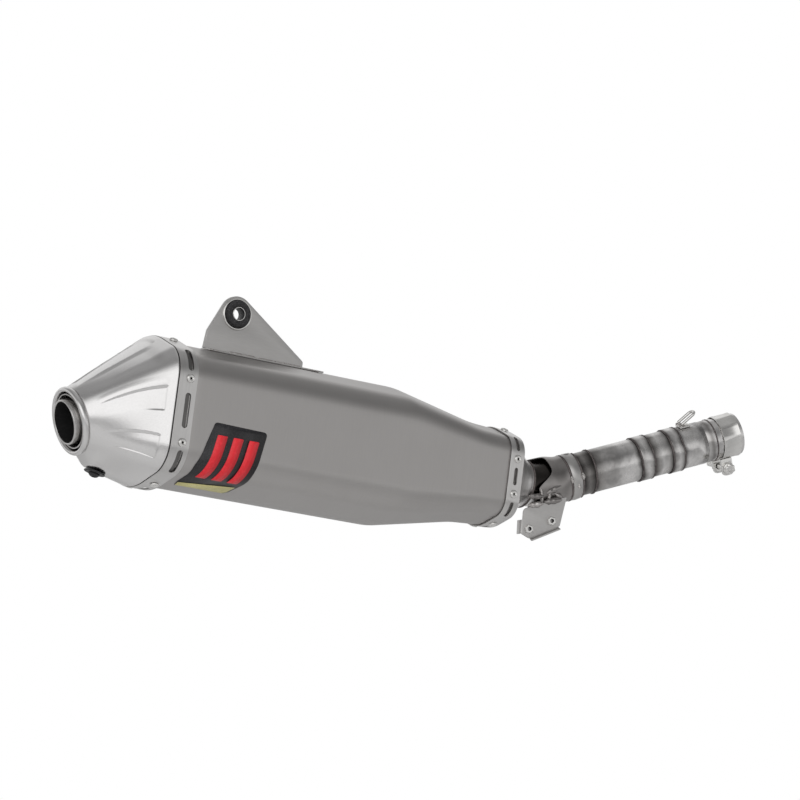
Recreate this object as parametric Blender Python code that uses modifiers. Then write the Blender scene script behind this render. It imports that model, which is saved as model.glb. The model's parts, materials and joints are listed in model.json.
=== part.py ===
"""Racing exhaust system: silencer with outlet cap and insert, hanger, link pipe, bracket and clamp.

Metres, +Z up.  X runs along the silencer, with the outlet at -X and the inlet at +X.  The origin is
the centre of the bushed hole in the hanger, which is what the silencer hangs on.  Everything is
drawn in the silencer's own frame, whose origin is the centre of the rear rim.
"""

import math

import bmesh
import bpy
from mathutils import Matrix, Vector

MM = 0.001
GAP = 0.3 * MM  # between touching solids

# hanger hole, seen from the centre of the rear rim
HANGER_X = 90.0 * MM
HANGER_Z = 112.0 * MM

# rear rim: a hexagon with upright sides and rounded corners
HALF_WIDTH = 72.0 * MM
APEX = 79.0 * MM
SHOULDER = 55.0 * MM
SIDE_RADIUS = 32.0 * MM
APEX_RADIUS = 80.0 * MM
ARC_STEPS = 5
SIDE_STEPS = 4
SLOPE_STEPS = 1

# stack of sheets at the rear rim, measured inwards from the band's outer face
BAND_WALL = 1.5 * MM
SKIRT_INSET = BAND_WALL + GAP
SHEET = 1.2 * MM
SLEEVE_INSET = SKIRT_INSET + SHEET + 3 * GAP

# stations along X
BAND_WIDTH = 20.0 * MM
SKIRT_END = 14.0 * MM
SLEEVE_START = 3.0 * MM
TAPER_START = 270.0 * MM
TAPER_END = 366.0 * MM
TAPER_SCALE = 0.735
FRONT_SCALE = 0.692
FRONT_BAND_START = 398.0 * MM
FRONT_BAND_END = 415.0 * MM
SLEEVE_END = 412.0 * MM
INLET_CAP_END = 448.0 * MM

# outlet: the lip and its tubes share an axis that points down and back
LIP_X = -74.8 * MM
LIP_Z = -23.0 * MM
OUTLET_PITCH = math.radians(20.0)
LIP_RADIUS = 32.4 * MM
LIP_SETBACK = 3.0 * MM  # from the lip's face to where its round edge starts
SHOULDER_INSET = 0.6 * MM
LIP_BORE = 28.6 * MM
OUTLET_TUBE_RADIUS = 27.0 * MM
OUTLET_TUBE_BORE = 25.4 * MM
OUTLET_TUBE_LENGTH = 56.0 * MM
INSERT_RADIUS = 22.0 * MM
INSERT_BORE = 20.0 * MM
INSERT_PROUD = 5.0 * MM
INSERT_FLANGE = 24.6 * MM

# insert screw, under the outlet cap
BELLY_SHARE = 0.8  # of the way from the rim to the lip, where the cap's belly is fullest
BELLY_DEPTH = 6.9 * MM
BELLY_SIDE, BELLY_LOW = 45.0, 82.0  # degrees below the middle where the belly starts and is full
SCREW_SHARE = 0.78  # of the way from the rim's foot to the fullest point
M6_RADIUS = 3.0 * MM
SCREW_SHANK = 32.8 * MM
CLEARANCE_RADIUS = 3.6 * MM
WASHER_RADIUS = 10.5 * MM

# link pipe: leaves the silencer along X, then climbs and swings to -Y
BEND_X = 462.0 * MM
PIPE_DIRECTION = Vector((0.900, -0.217, 0.378)).normalized()
PIPE_RADIUS = 22.5 * MM
PIPE_WALL = 1.5 * MM
BEND_RADIUS = 51.0 * MM
PIPE_END = 193.0 * MM
SOCKET_END = 235.0 * MM
SOCKET_RADIUS = 22.0 * MM
SOCKET_BORE = 20.6 * MM
RING_WALL = 0.8 * MM
RING_SPANS = ((116.0 * MM, 130.0 * MM), (152.0 * MM, 165.0 * MM))

# spring hook on the upper side of the pipe
HOOK_FOOT = 173.0 * MM
HOOK_LEAN = math.radians(62)
HOOK_TURN = math.radians(18)  # towards the near side
HOOK_WIRE = 1.6 * MM

# clamp on the socket; its frame is turned about the pipe so that the lugs hang below
CLAMP_MIDDLE = 221.0 * MM
CLAMP_WIDTH = 20.0 * MM
CLAMP_TURN = math.radians(10.4)
CLAMP_BORE = 22.4 * MM
CLAMP_RADIUS = 23.5 * MM
LUG_INNER = 9.0 * MM
LUG_OUTER = 12.0 * MM
BOLT_DROP = 31.6 * MM
LUG_Z = -6.5 * MM

# plain badge on the near side
BADGE_LEFT = 47.0 * MM
BADGE_WIDTH = 58.0 * MM
BADGE_SLANT = 14.0 * MM  # how far its lower edge is shifted towards the outlet
BADGE_TOPS = (-6.0 * MM, -19.0 * MM)  # heights of its rows on the upright side
BADGE_WALL = 0.6 * MM

# where the fixings sit round the rear band; the front band uses the same pattern, scaled
RIVET_HEIGHT = 31.0 * MM
RIVET_ACROSS = 26.0 * MM

PALE_STEEL = ((0.62, 0.61, 0.60), 0.28, 1.0)
SATIN_STEEL = ((0.50, 0.49, 0.48), 0.38, 1.0)
TITANIUM = ((0.33, 0.315, 0.30), 0.45, 1.0)
TINTED = ((0.24, 0.20, 0.18), 0.35, 1.0)
RUBBER = ((0.02, 0.02, 0.02), 0.75, 0.0)
BLACK_OXIDE = ((0.02, 0.02, 0.022), 0.45, 0.6)
BRIGHT_ZINC = ((0.70, 0.69, 0.66), 0.25, 1.0)
WOOL = ((0.75, 0.72, 0.60), 0.95, 0.0)
BADGE_BLACK = ((0.015, 0.015, 0.018), 0.40, 0.0)

for leftover in list(bpy.data.objects):
    bpy.data.objects.remove(leftover, do_unlink=True)

PARTS = bpy.data.collections.new("racing_exhaust_system")
CUTTERS = bpy.data.collections.new("cutters")
for group in (PARTS, CUTTERS):
    bpy.context.scene.collection.children.link(group)


# ---------------------------------------------------------------- helpers

def paint(obj, finish):
    """Give the object its own Principled material."""
    colour, roughness, metallic = finish
    material = bpy.data.materials.new(obj.name)
    material.use_nodes = True
    shader = material.node_tree.nodes["Principled BSDF"]
    shader.inputs["Base Color"].default_value = (*colour, 1.0)
    shader.inputs["Roughness"].default_value = roughness
    shader.inputs["Metallic"].default_value = metallic
    material.diffuse_color = (*colour, 1.0)
    obj.data.materials.clear()
    obj.data.materials.append(material)


def axis_frame(name, point, direction, upward, parent=None, turn=0.0):
    """An empty with local Z along direction and local X near upward, then turned about Z."""
    z = Vector(direction).normalized()
    x = (Vector(upward) - z * z.dot(Vector(upward))).normalized()
    aim = Matrix((x, z.cross(x), z)).transposed().to_4x4()
    frame = bpy.data.objects.new(name, None)
    frame.empty_display_size = 0.02
    PARTS.objects.link(frame)
    frame.parent = parent
    frame.matrix_local = Matrix.Translation(point) @ aim @ Matrix.Rotation(turn, 4, "Z")
    return frame


def new_object(name, mesh, parent, finish=None):
    """A part when it has a finish, and a hidden cutter when it has none."""
    obj = bpy.data.objects.new(name, mesh)
    obj.parent = parent
    if finish is None:
        CUTTERS.objects.link(obj)
        obj.hide_render = True
        obj.display_type = "WIRE"
    else:
        PARTS.objects.link(obj)
        paint(obj, finish)
        for polygon in mesh.polygons:
            polygon.use_smooth = True
        mesh.set_sharp_from_angle(angle=math.radians(35))
    return obj


def strip_mesh(name, rings, closed=True):
    """Quads between rings of equal length; ring order +X with points turning about +X faces out."""
    mesh = bpy.data.meshes.new(name)
    count = len(rings[0])
    points = [point for ring in rings for point in ring]
    faces = []
    for row in range(len(rings) - 1):
        for step in range(count if closed else count - 1):
            near, far = row * count, (row + 1) * count
            following = (step + 1) % count
            faces.append((near + step, near + following, far + following, far + step))
    mesh.from_pydata([tuple(point) for point in points], [], faces)
    mesh.validate()
    return mesh


def thicken(obj, thickness, outwards=False):
    """Give an open surface a wall on its inner side, or on its outer side."""
    wall = obj.modifiers.new("wall", "SOLIDIFY")
    wall.thickness = thickness
    wall.offset = 1.0 if outwards else -1.0
    wall.use_even_offset = True


def turned(name, profile, parent, finish=None, steps=40, place=None, closed=True):
    """Turn (radius, height) points about the parent's Z; the outer side is given top to bottom."""
    mesh = bpy.data.meshes.new(name)
    edges = [(i, i + 1) for i in range(len(profile) - 1)]
    if closed:
        edges.append((len(profile) - 1, 0))
    mesh.from_pydata([(radius, 0.0, height) for radius, height in profile], edges, [])
    obj = new_object(name, mesh, parent, finish)
    if place is not None:
        obj.matrix_local = place
    screw = obj.modifiers.new("turn", "SCREW")
    screw.steps = steps
    screw.render_steps = steps
    screw.use_merge_vertices = True
    screw.merge_threshold = 0.00001
    screw.use_smooth_shade = True
    return obj


def tube(name, radius, bore, low, high, parent, finish, steps=40, place=None):
    """A plain round tube about the parent's Z."""
    profile = ((radius, high), (radius, low), (bore, low), (bore, high))
    return turned(name, profile, parent, finish, steps, place)


def rod(name, outline, parent, finish=None, steps=24, place=None):
    """A turned solid whose profile starts and ends on the axis."""
    return turned(name, outline, parent, finish, steps, place, closed=False)


def block(name, size, centre, parent, finish=None, turn=None):
    """A box with its size in the mesh."""
    mesh = bpy.data.meshes.new(name)
    shape = bmesh.new()
    bmesh.ops.create_cube(shape, size=1.0)
    bmesh.ops.scale(shape, vec=Vector(size), verts=shape.verts)
    shape.to_mesh(mesh)
    shape.free()
    obj = new_object(name, mesh, parent, finish)
    obj.matrix_local = Matrix.Translation(centre) @ (turn or Matrix())
    return obj


def cut(obj, cutter):
    """Take the cutter out of the object."""
    modifier = obj.modifiers.new("cut", "BOOLEAN")
    modifier.operation = "DIFFERENCE"
    modifier.object = cutter


def join(obj, other):
    """Unite the object with a hidden second solid."""
    modifier = obj.modifiers.new("join", "BOOLEAN")
    modifier.operation = "UNION"
    modifier.object = other


def cut_all(obj, cutters):
    """Take a whole collection of cutters out of the object."""
    modifier = obj.modifiers.new("cut", "BOOLEAN")
    modifier.operation = "DIFFERENCE"
    modifier.operand_type = "COLLECTION"
    modifier.collection = cutters


def arc(centre, radius, start, end, steps):
    """Points (u, v) on an arc, both ends included."""
    angles = [start + (end - start) * i / steps for i in range(steps + 1)]
    return [(centre[0] + radius * math.cos(a), centre[1] + radius * math.sin(a)) for a in angles]


# ---------------------------------------------------------------- the hexagonal section

SLOPE_ANGLE = math.atan2(APEX - SHOULDER, HALF_WIDTH)
SIDE_NORMAL = 0.0
SLOPE_NORMAL = math.pi / 2 - SLOPE_ANGLE


def corner_arcs():
    """Centre, radius and span of the normals of the six corners, turning about +X from the -Y side."""
    side_turn = SLOPE_NORMAL - SIDE_NORMAL
    apex_turn = math.pi - 2 * SLOPE_NORMAL
    side_back = SIDE_RADIUS / math.cos(side_turn / 2)
    apex_back = APEX_RADIUS / math.cos(apex_turn / 2)
    side_middle = side_turn / 2
    y = HALF_WIDTH - side_back * math.cos(side_middle)
    z = SHOULDER - side_back * math.sin(side_middle)
    top = APEX - apex_back
    quarter = math.pi
    return (
        ((y, z), SIDE_RADIUS, 0.0, SLOPE_NORMAL),
        ((0.0, top), APEX_RADIUS, SLOPE_NORMAL, quarter - SLOPE_NORMAL),
        ((-y, z), SIDE_RADIUS, quarter - SLOPE_NORMAL, quarter),
        ((-y, -z), SIDE_RADIUS, quarter, quarter + SLOPE_NORMAL),
        ((0.0, -top), APEX_RADIUS, quarter + SLOPE_NORMAL, 2 * quarter - SLOPE_NORMAL),
        ((y, -z), SIDE_RADIUS, 2 * quarter - SLOPE_NORMAL, 2 * quarter),
    )


def hexagon(inset=0.0, scale=1.0):
    """Points (y, z) of the rounded hexagon, scaled and then moved inwards."""
    corners = []
    for (y, z), radius, start, end in corner_arcs():
        corners.append(arc((y * scale, z * scale), radius * scale - inset, start, end, ARC_STEPS))
    points = []
    for number, corner in enumerate(corners):
        following = corners[(number + 1) % len(corners)]
        points += corner
        flat_steps = SIDE_STEPS if number in (2, 5) else SLOPE_STEPS
        first, second = Vector(corner[-1]), Vector(following[0])
        points += [tuple(first.lerp(second, step / flat_steps)) for step in range(1, flat_steps)]
    return points


def ring_at(x, inset=0.0, scale=1.0):
    """The section as a ring of points at a station."""
    return [Vector((x, y, z)) for y, z in hexagon(inset, scale)]


def circle_ring(centre, along, upward, radius, like):
    """A circle whose points have the same directions, seen along the axis, as another ring's."""
    upward = Vector(upward)
    across = Vector(along).cross(upward).normalized() * -1.0
    ring = []
    for y, z in like:
        angle = math.atan2(z, y)
        offset = across * math.cos(angle) + upward * math.sin(angle)
        ring.append(Vector(centre) + offset * radius)
    return ring


def taper(x):
    """Scale of the sleeve's section at a station."""
    if x <= TAPER_START:
        return 1.0
    if x <= TAPER_END:
        share = (x - TAPER_START) / (TAPER_END - TAPER_START)
        return 1.0 + (TAPER_SCALE - 1.0) * share
    share = (x - TAPER_END) / (FRONT_BAND_END - TAPER_END)
    return TAPER_SCALE + (FRONT_SCALE - TAPER_SCALE) * share


def sleeve_ring(x, inset=0.0):
    """A ring of the sleeve's outer face, moved inwards."""
    scale = taper(x)
    return ring_at(x, SLEEVE_INSET * scale + inset, scale)


def facing(x, y, z, normal):
    """A place at (x, y, z) whose local Z points along the section's normal angle."""
    out = Vector((0.0, math.cos(normal), math.sin(normal)))
    turn = Matrix((Vector((1, 0, 0)), out.cross(Vector((1, 0, 0))), out)).transposed().to_4x4()
    return Matrix.Translation((x, y, z)) @ turn


def fixing_places(x, scale, inset, side_height):
    """The eight rivet places of a band: two on each side and two on each of the roof and the belly."""
    places = []
    across = RIVET_ACROSS * scale
    side = HALF_WIDTH * scale - inset
    slope_y = across - inset * math.cos(SLOPE_NORMAL)
    slope_z = APEX * scale - across * math.tan(SLOPE_ANGLE) - inset * math.sin(SLOPE_NORMAL)
    for hand in (-1, 1):
        for upper in (1, -1):
            side_normal = 0.0 if hand > 0 else math.pi
            slope_normal = SLOPE_NORMAL if hand > 0 else math.pi - SLOPE_NORMAL
            places.append(facing(x, hand * side, upper * side_height, side_normal))
            places.append(facing(x, hand * slope_y, upper * slope_z, upper * slope_normal))
    return places


def slot_places(x, scale, inset):
    """Middle of the eight slots of a band, between its rivets."""
    middle_normal = SLOPE_NORMAL / 2
    (corner_y, corner_z), radius = corner_arcs()[0][:2]
    reach = radius * scale - inset
    y = corner_y * scale + reach * math.cos(middle_normal)
    z = corner_z * scale + reach * math.sin(middle_normal)
    crown = (APEX - APEX_RADIUS / math.sin(SLOPE_NORMAL) + APEX_RADIUS) * scale - inset
    side = HALF_WIDTH * scale - inset
    places = [facing(x, side, 0, 0.0), facing(x, -side, 0, math.pi)]
    places += [facing(x, 0, crown, math.pi / 2), facing(x, 0, -crown, -math.pi / 2)]
    for upper in (1, -1):
        places.append(facing(x, y, upper * z, upper * middle_normal))
        places.append(facing(x, -y, upper * z, upper * (math.pi - middle_normal)))
    return places


# ---------------------------------------------------------------- frames

SILENCER = axis_frame("silencer_frame", (-HANGER_X, 0, -HANGER_Z), (0, 0, 1), (1, 0, 0))
OUTLET_OUT = Vector((-math.cos(OUTLET_PITCH), 0, -math.sin(OUTLET_PITCH)))
OUTLET_UP = Vector((-math.sin(OUTLET_PITCH), 0, math.cos(OUTLET_PITCH)))
OUTLET = axis_frame("outlet_frame", (LIP_X, 0, LIP_Z), OUTLET_OUT, OUTLET_UP, SILENCER)
RIM_FOOT = Vector((0, 0, -(APEX - APEX_RADIUS / math.cos(SLOPE_ANGLE) + APEX_RADIUS - SHOULDER_INSET)))
LIP_FOOT = Vector((LIP_X, 0, LIP_Z)) - OUTLET_OUT * LIP_SETBACK - OUTLET_UP * LIP_RADIUS
BELLY_OUT = (LIP_FOOT - RIM_FOOT).normalized().cross(Vector((0, 1, 0)))
BELLY_FOOT = RIM_FOOT.lerp(LIP_FOOT, BELLY_SHARE) + BELLY_OUT * BELLY_DEPTH
SCREW_OUT = (BELLY_FOOT - RIM_FOOT).normalized().cross(Vector((0, 1, 0)))
SCREW_POINT = RIM_FOOT.lerp(BELLY_FOOT, SCREW_SHARE)
INSERT_SCREW = axis_frame("insert_screw_frame", SCREW_POINT, SCREW_OUT, (1, 0, 0), SILENCER)
PIPE = axis_frame("pipe_frame", (BEND_X, 0, 0), PIPE_DIRECTION, (0, 0, 1), SILENCER)
CLAMP = axis_frame("clamp_frame", (0, 0, CLAMP_MIDDLE), (0, 0, 1), (1, 0, 0), PIPE, CLAMP_TURN)
BOLT = axis_frame("clamp_bolt_frame", (-BOLT_DROP, 0, LUG_Z), (0, 1, 0), (1, 0, 0), CLAMP)
HANGER = axis_frame("hanger_frame", (HANGER_X, 0, HANGER_Z), (0, -1, 0), (0, 0, 1), SILENCER)


# ---------------------------------------------------------------- silencer body

def fixing_cutters(name, places, radius):
    """Round cutters for the rivet holes, in a collection of their own."""
    group = bpy.data.collections.new(name)
    CUTTERS.children.link(group)
    length = 9.0 * MM
    outline = ((0, length), (radius, length), (radius, -length), (0, -length))
    for number, place in enumerate(places):
        cutter = rod(f"{name}_{number}", outline, SILENCER, steps=10, place=place)
        CUTTERS.objects.unlink(cutter)
        group.objects.link(cutter)
    return group


def slot_cutters(name, places, lengths, width):
    """Round-ended cutters for a band's slots, in a collection of their own."""
    group = bpy.data.collections.new(name)
    CUTTERS.children.link(group)
    for number, (place, length) in enumerate(zip(places, lengths)):
        cutter = block(f"{name}_{number}", (width, length, 16 * MM), (0, 0, 0), SILENCER)
        cutter.matrix_local = place
        CUTTERS.objects.unlink(cutter)
        group.objects.link(cutter)
    return group


def rivets(prefix, places):
    """Domed rivets with a hollow stem, each through its own hole."""
    profile = (
        (1.3 * MM, 2.2 * MM),
        (3.0 * MM, 1.9 * MM),
        (4.2 * MM, GAP),
        (1.9 * MM, GAP),
        (1.9 * MM, -6.5 * MM),
        (1.3 * MM, -6.5 * MM),
    )
    for number, place in enumerate(places, start=1):
        turned(f"{prefix}_{number}", profile, SILENCER, BRIGHT_ZINC, steps=10, place=place)


def make_silencer():
    """Sleeve, end cap, inlet cap, their two bands and sixteen rivets."""
    rear_x = BAND_WIDTH * 0.6
    front_x = (FRONT_BAND_START + FRONT_BAND_END) / 2
    front_scale = taper(front_x)
    front_inset = SLEEVE_INSET * front_scale - BAND_WALL - GAP
    rear_places = fixing_places(rear_x, 1.0, 0.0, RIVET_HEIGHT)
    front_places = fixing_places(front_x, front_scale, front_inset, 18 * MM)
    rear_holes = fixing_cutters("rear_hole", rear_places, 2.3 * MM)
    front_holes = fixing_cutters("front_hole", front_places, 2.3 * MM)

    stations = (SLEEVE_START, TAPER_START, TAPER_END, SLEEVE_END)
    skin = strip_mesh("sleeve", [sleeve_ring(x) for x in stations])
    sleeve = new_object("sleeve", skin, SILENCER, TITANIUM)
    thicken(sleeve, SHEET)
    cut_all(sleeve, rear_holes)
    cut_all(sleeve, front_holes)

    rear = strip_mesh("rear_band", [ring_at(x) for x in (GAP, BAND_WIDTH)])
    rear_band = new_object("rear_band", rear, SILENCER, PALE_STEEL)
    thicken(rear_band, BAND_WALL)
    cut_all(rear_band, rear_holes)
    lengths = [34 * MM, 34 * MM, 26 * MM, 26 * MM] + [26 * MM] * 4
    cut_all(rear_band, slot_cutters("rear_slot", slot_places(rear_x, 1.0, 0.0), lengths, 6 * MM))

    outside = -(BAND_WALL + GAP)
    ends = (FRONT_BAND_START, FRONT_BAND_END)
    front = strip_mesh("front_band", [sleeve_ring(x, outside) for x in ends])
    front_band = new_object("front_band", front, SILENCER, PALE_STEEL)
    thicken(front_band, BAND_WALL)
    cut_all(front_band, front_holes)
    slots = slot_places(front_x, front_scale, front_inset)
    lengths = [18 * MM, 18 * MM, 16 * MM, 16 * MM] + [18 * MM] * 4
    cut_all(front_band, slot_cutters("front_slot", slots, lengths, 5 * MM))

    rivets("rear_rivet", rear_places)
    rivets("front_rivet", front_places)
    make_end_cap(rear_holes)
    make_inlet_cap(front_holes)


def belly(y, z):
    """How much a point of the section shares in the cap's full belly: 1 at its foot, 0 on its sides."""
    below = math.degrees(math.atan2(-z, abs(y)))
    share = min(1.0, max(0.0, (below - BELLY_SIDE) / (BELLY_LOW - BELLY_SIDE)))
    return share * share * (3 - 2 * share)


def make_end_cap(rear_holes):
    """Pressed cap from the hexagonal rim to the rolled round lip."""
    lip = Vector((LIP_X, 0, LIP_Z))
    rim = hexagon()

    def lip_ring(radius, back):
        return circle_ring(lip - OUTLET_OUT * back, -OUTLET_OUT, OUTLET_UP, radius, rim)

    outer = lip_ring(LIP_RADIUS, LIP_SETBACK)
    inner = [lip_ring(LIP_BORE, 7 * MM), lip_ring(LIP_BORE, 1.5 * MM)]
    rings = inner + [lip_ring(LIP_RADIUS - 1.8 * MM, 0), outer]
    shoulder = ring_at(-1 * MM, SHOULDER_INSET)
    for share in (BELLY_SHARE, 0.5):
        swell = BELLY_DEPTH * min(share / BELLY_SHARE, (1 - share) / (1 - BELLY_SHARE))
        ring = [a.lerp(b, share) for a, b in zip(shoulder, outer)]
        rings.append([point + BELLY_OUT * swell * belly(y, z) for point, (y, z) in zip(ring, rim)])
    rings += [shoulder, ring_at(0.0, SKIRT_INSET), ring_at(SKIRT_END, SKIRT_INSET)]
    cap = new_object("end_cap", strip_mesh("end_cap", rings), SILENCER, PALE_STEEL)
    thicken(cap, SHEET)
    cut_all(cap, rear_holes)
    reach = 12 * MM
    outline = ((0, reach), (CLEARANCE_RADIUS, reach), (CLEARANCE_RADIUS, -reach), (0, -reach))
    cut(cap, rod("end_cap_screw_hole", outline, INSERT_SCREW, steps=20))


def make_inlet_cap(front_holes):
    """Domed cap from the sleeve's front end down to a collar round the pipe."""
    like = hexagon()
    along, upward = Vector((1, 0, 0)), Vector((0, 0, 1))

    def round_ring(x, radius):
        return circle_ring((x, 0, 0), along, upward, radius, like)

    skirt = SHEET + GAP
    start = sleeve_ring(FRONT_BAND_START + 4 * MM, skirt)
    shoulder = sleeve_ring(SLEEVE_END + GAP, skirt)
    rim = sleeve_ring(FRONT_BAND_END + 0.5 * MM, 0.3 * MM)
    collar = PIPE_RADIUS + GAP + SHEET
    middle = round_ring(438 * MM, collar + 9 * MM)
    blend = [a.lerp(b, 0.55) for a, b in zip(rim, middle)]
    for point in blend:
        point.x += 1.5 * MM
    neck = [round_ring(444 * MM, collar + 2 * MM), round_ring(INLET_CAP_END, collar)]
    rings = [start, shoulder, rim, blend, middle] + neck
    cap = new_object("inlet_cap", strip_mesh("inlet_cap", rings), SILENCER, PALE_STEEL)
    thicken(cap, SHEET)
    cut_all(cap, front_holes)


def make_badge():
    """A thin plain plate on the near side, wrapped round the lower corner on to the sloping belly."""
    steps = 6
    side = HALF_WIDTH - SLEEVE_INSET
    (y, z), radius = corner_arcs()[3][:2]
    (_, belly_z), belly_radius = corner_arcs()[4][:2]
    foot = math.pi + SLOPE_NORMAL
    rows = [(-side, height, math.pi) for height in BADGE_TOPS]
    for step in range(steps + 1):
        angle = math.pi + SLOPE_NORMAL * step / steps
        reach = radius - SLEEVE_INSET
        rows.append((y + reach * math.cos(angle), z + reach * math.sin(angle), angle))
    reach = belly_radius - SLEEVE_INSET
    rows.append((reach * math.cos(foot), belly_z + reach * math.sin(foot), foot))
    lengths = [0.0]
    for first, second in zip(rows, rows[1:]):
        lengths.append(lengths[-1] + math.dist(first[:2], second[:2]))
    rings = []
    for (row_y, row_z, angle), length in zip(rows, lengths):
        share = length / lengths[-1]
        left = BADGE_LEFT - BADGE_SLANT * share
        lift = Vector((0, math.cos(angle), math.sin(angle))) * GAP
        ends = (left + BADGE_WIDTH, left)
        rings.append([Vector((x, row_y, row_z)) + lift for x in ends])
    face = strip_mesh("name_badge", rings, closed=False)
    badge = new_object("name_badge", face, SILENCER, BADGE_BLACK)
    thicken(badge, BADGE_WALL, outwards=True)


def make_inner_parts():
    """What a straight-through silencer holds: perforated core, packing and the rear bulkhead."""
    core_radius, core_bore = 24.5 * MM, 23.3 * MM
    along = axis_frame("core_frame", (0, 0, 0), (1, 0, 0), (0, 0, 1), SILENCER)
    tube("perforated_core", core_radius, core_bore, -2 * MM, 415 * MM, along, SATIN_STEEL, steps=32)
    bore = core_radius + GAP
    profile = (
        (42 * MM, 396 * MM),
        (46 * MM, TAPER_END),
        (60 * MM, TAPER_START),
        (60 * MM, 24 * MM),
        (bore, 24 * MM),
        (bore, 396 * MM),
    )
    turned("packing_wool", profile, along, WOOL, steps=32)
    plate = new_object("rear_bulkhead", bpy.data.meshes.new("rear_bulkhead"), SILENCER, SATIN_STEEL)
    shape = bmesh.new()
    inset = SLEEVE_INSET + SHEET + GAP
    bottom = [shape.verts.new(point) for point in ring_at(18 * MM, inset)]
    inner = circle_ring((18 * MM, 0, 0), Vector((1, 0, 0)), Vector((0, 0, 1)), bore, hexagon())
    hole = [shape.verts.new(point) for point in inner]
    for step in range(len(bottom)):
        following = (step + 1) % len(bottom)
        shape.faces.new((bottom[step], bottom[following], hole[following], hole[step]))
    shape.to_mesh(plate.data)
    shape.free()
    thicken(plate, 1.5 * MM)


# ---------------------------------------------------------------- outlet

def make_outlet():
    """Fixed outlet tube with the screw's boss, the removable insert, and its screw and washer."""
    steps = 40
    inner_end = -OUTLET_TUBE_LENGTH
    outlet = tube("outlet_tube", OUTLET_TUBE_RADIUS, OUTLET_TUBE_BORE, inner_end, -1 * MM, OUTLET,
                  SATIN_STEEL, steps)
    hole = ((0, 0), (CLEARANCE_RADIUS, 0), (CLEARANCE_RADIUS, -38 * MM), (0, -38 * MM))
    cut(outlet, rod("outlet_tube_screw_hole", hole, INSERT_SCREW, steps=20))

    boss = tube("insert_screw_boss", 6.5 * MM, CLEARANCE_RADIUS, -36 * MM, -2.5 * MM, INSERT_SCREW,
                SATIN_STEEL, 20)
    clear = OUTLET_TUBE_RADIUS + GAP
    around = ((0, 10 * MM), (clear, 10 * MM), (clear, -70 * MM), (0, -70 * MM))
    cut(boss, rod("boss_saddle", around, OUTLET, steps=steps))

    inner_end += 1 * MM
    profile = (
        (INSERT_RADIUS, INSERT_PROUD),
        (INSERT_RADIUS, inner_end + 8 * MM),
        (INSERT_FLANGE, inner_end + 5 * MM),
        (INSERT_FLANGE, inner_end),
        (INSERT_BORE, inner_end),
        (INSERT_BORE, INSERT_PROUD),
    )
    turned("outlet_insert", profile, OUTLET, PALE_STEEL, steps)

    washer = 1.4 * MM
    low = 0.5 * MM
    high = low + washer
    tube("insert_washer", WASHER_RADIUS, CLEARANCE_RADIUS, low, high, INSERT_SCREW, BLACK_OXIDE, 24)
    base = high + GAP
    head = base + 4 * MM
    socket = 1.8 * MM
    screw = (
        (0, head - 2.4 * MM),
        (socket, head - 2.4 * MM),
        (socket, head),
        (3.6 * MM, head),
        (5.6 * MM, base + 1.6 * MM),
        (5.6 * MM, base),
        (M6_RADIUS, base),
        (M6_RADIUS, -SCREW_SHANK),
        (0, -SCREW_SHANK),
    )
    rod("insert_screw", screw, INSERT_SCREW, BLACK_OXIDE, 20)


# ---------------------------------------------------------------- hanger

def make_hanger():
    """Base plate on the roof, upright ear plate, rubber grommet and its steel bush."""
    left, right, base_right = 58 * MM, 170.7 * MM, 188 * MM
    base_wall = 1.6 * MM
    radius = APEX_RADIUS - SLEEVE_INSET + GAP
    centre_z = APEX - APEX_RADIUS / math.sin(SLOPE_NORMAL)
    reach = math.asin(15 * MM / radius)
    roof = arc((0, centre_z), radius, math.pi / 2 - reach, math.pi / 2 + reach, 6)
    rings = [[Vector((x, y, z)) for y, z in roof] for x in (left, base_right)]
    strip = strip_mesh("hanger_base", rings, closed=False)
    base = new_object("hanger_base", strip, SILENCER, SATIN_STEEL)
    thicken(base, base_wall, outwards=True)

    foot = centre_z + radius + base_wall + GAP - HANGER_Z
    ear, bore = 17.6 * MM, 12 * MM
    crown = arc((0, 0), ear, math.radians(154.6), math.radians(55.5), 14)
    outline = [(left - HANGER_X, foot), (60 * MM - HANGER_X, -21 * MM)] + crown
    outline += [(right - HANGER_X, -33.5 * MM), (right - HANGER_X, foot)]
    hole = arc((0, 0), bore, 0, 2 * math.pi, 32)[:-1]
    sheet = bpy.data.curves.new("hanger_bracket", "CURVE")
    sheet.dimensions = "2D"
    sheet.fill_mode = "BOTH"
    sheet.extrude = 2 * MM
    for points in (outline, hole):
        spline = sheet.splines.new("POLY")
        spline.points.add(len(points) - 1)
        for point, (along, up) in zip(spline.points, points):
            point.co = (up, -along, 0.0, 1.0)
        spline.use_cyclic_u = True
    bracket = bpy.data.objects.new("hanger_bracket", sheet)
    PARTS.objects.link(bracket)
    bracket.parent = HANGER
    paint(bracket, SATIN_STEEL)

    groove, flange, half = bore - GAP, 14 * MM, 7 * MM
    lip = 2 * MM + GAP
    bush_radius = 7 * MM
    eye = bush_radius + GAP
    spool = (
        (flange - 1 * MM, half),
        (flange, half - 1 * MM),
        (flange, lip),
        (groove, lip),
        (groove, -lip),
        (flange, -lip),
        (flange, 1 * MM - half),
        (flange - 1 * MM, -half),
        (eye, -half),
        (eye, half),
    )
    turned("hanger_grommet", spool, HANGER, RUBBER, 32)
    tube("hanger_bush", bush_radius, 6 * MM, 0.5 * MM - half, half - 0.5 * MM, HANGER, BRIGHT_ZINC, 32)


# ---------------------------------------------------------------- link pipe

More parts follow.
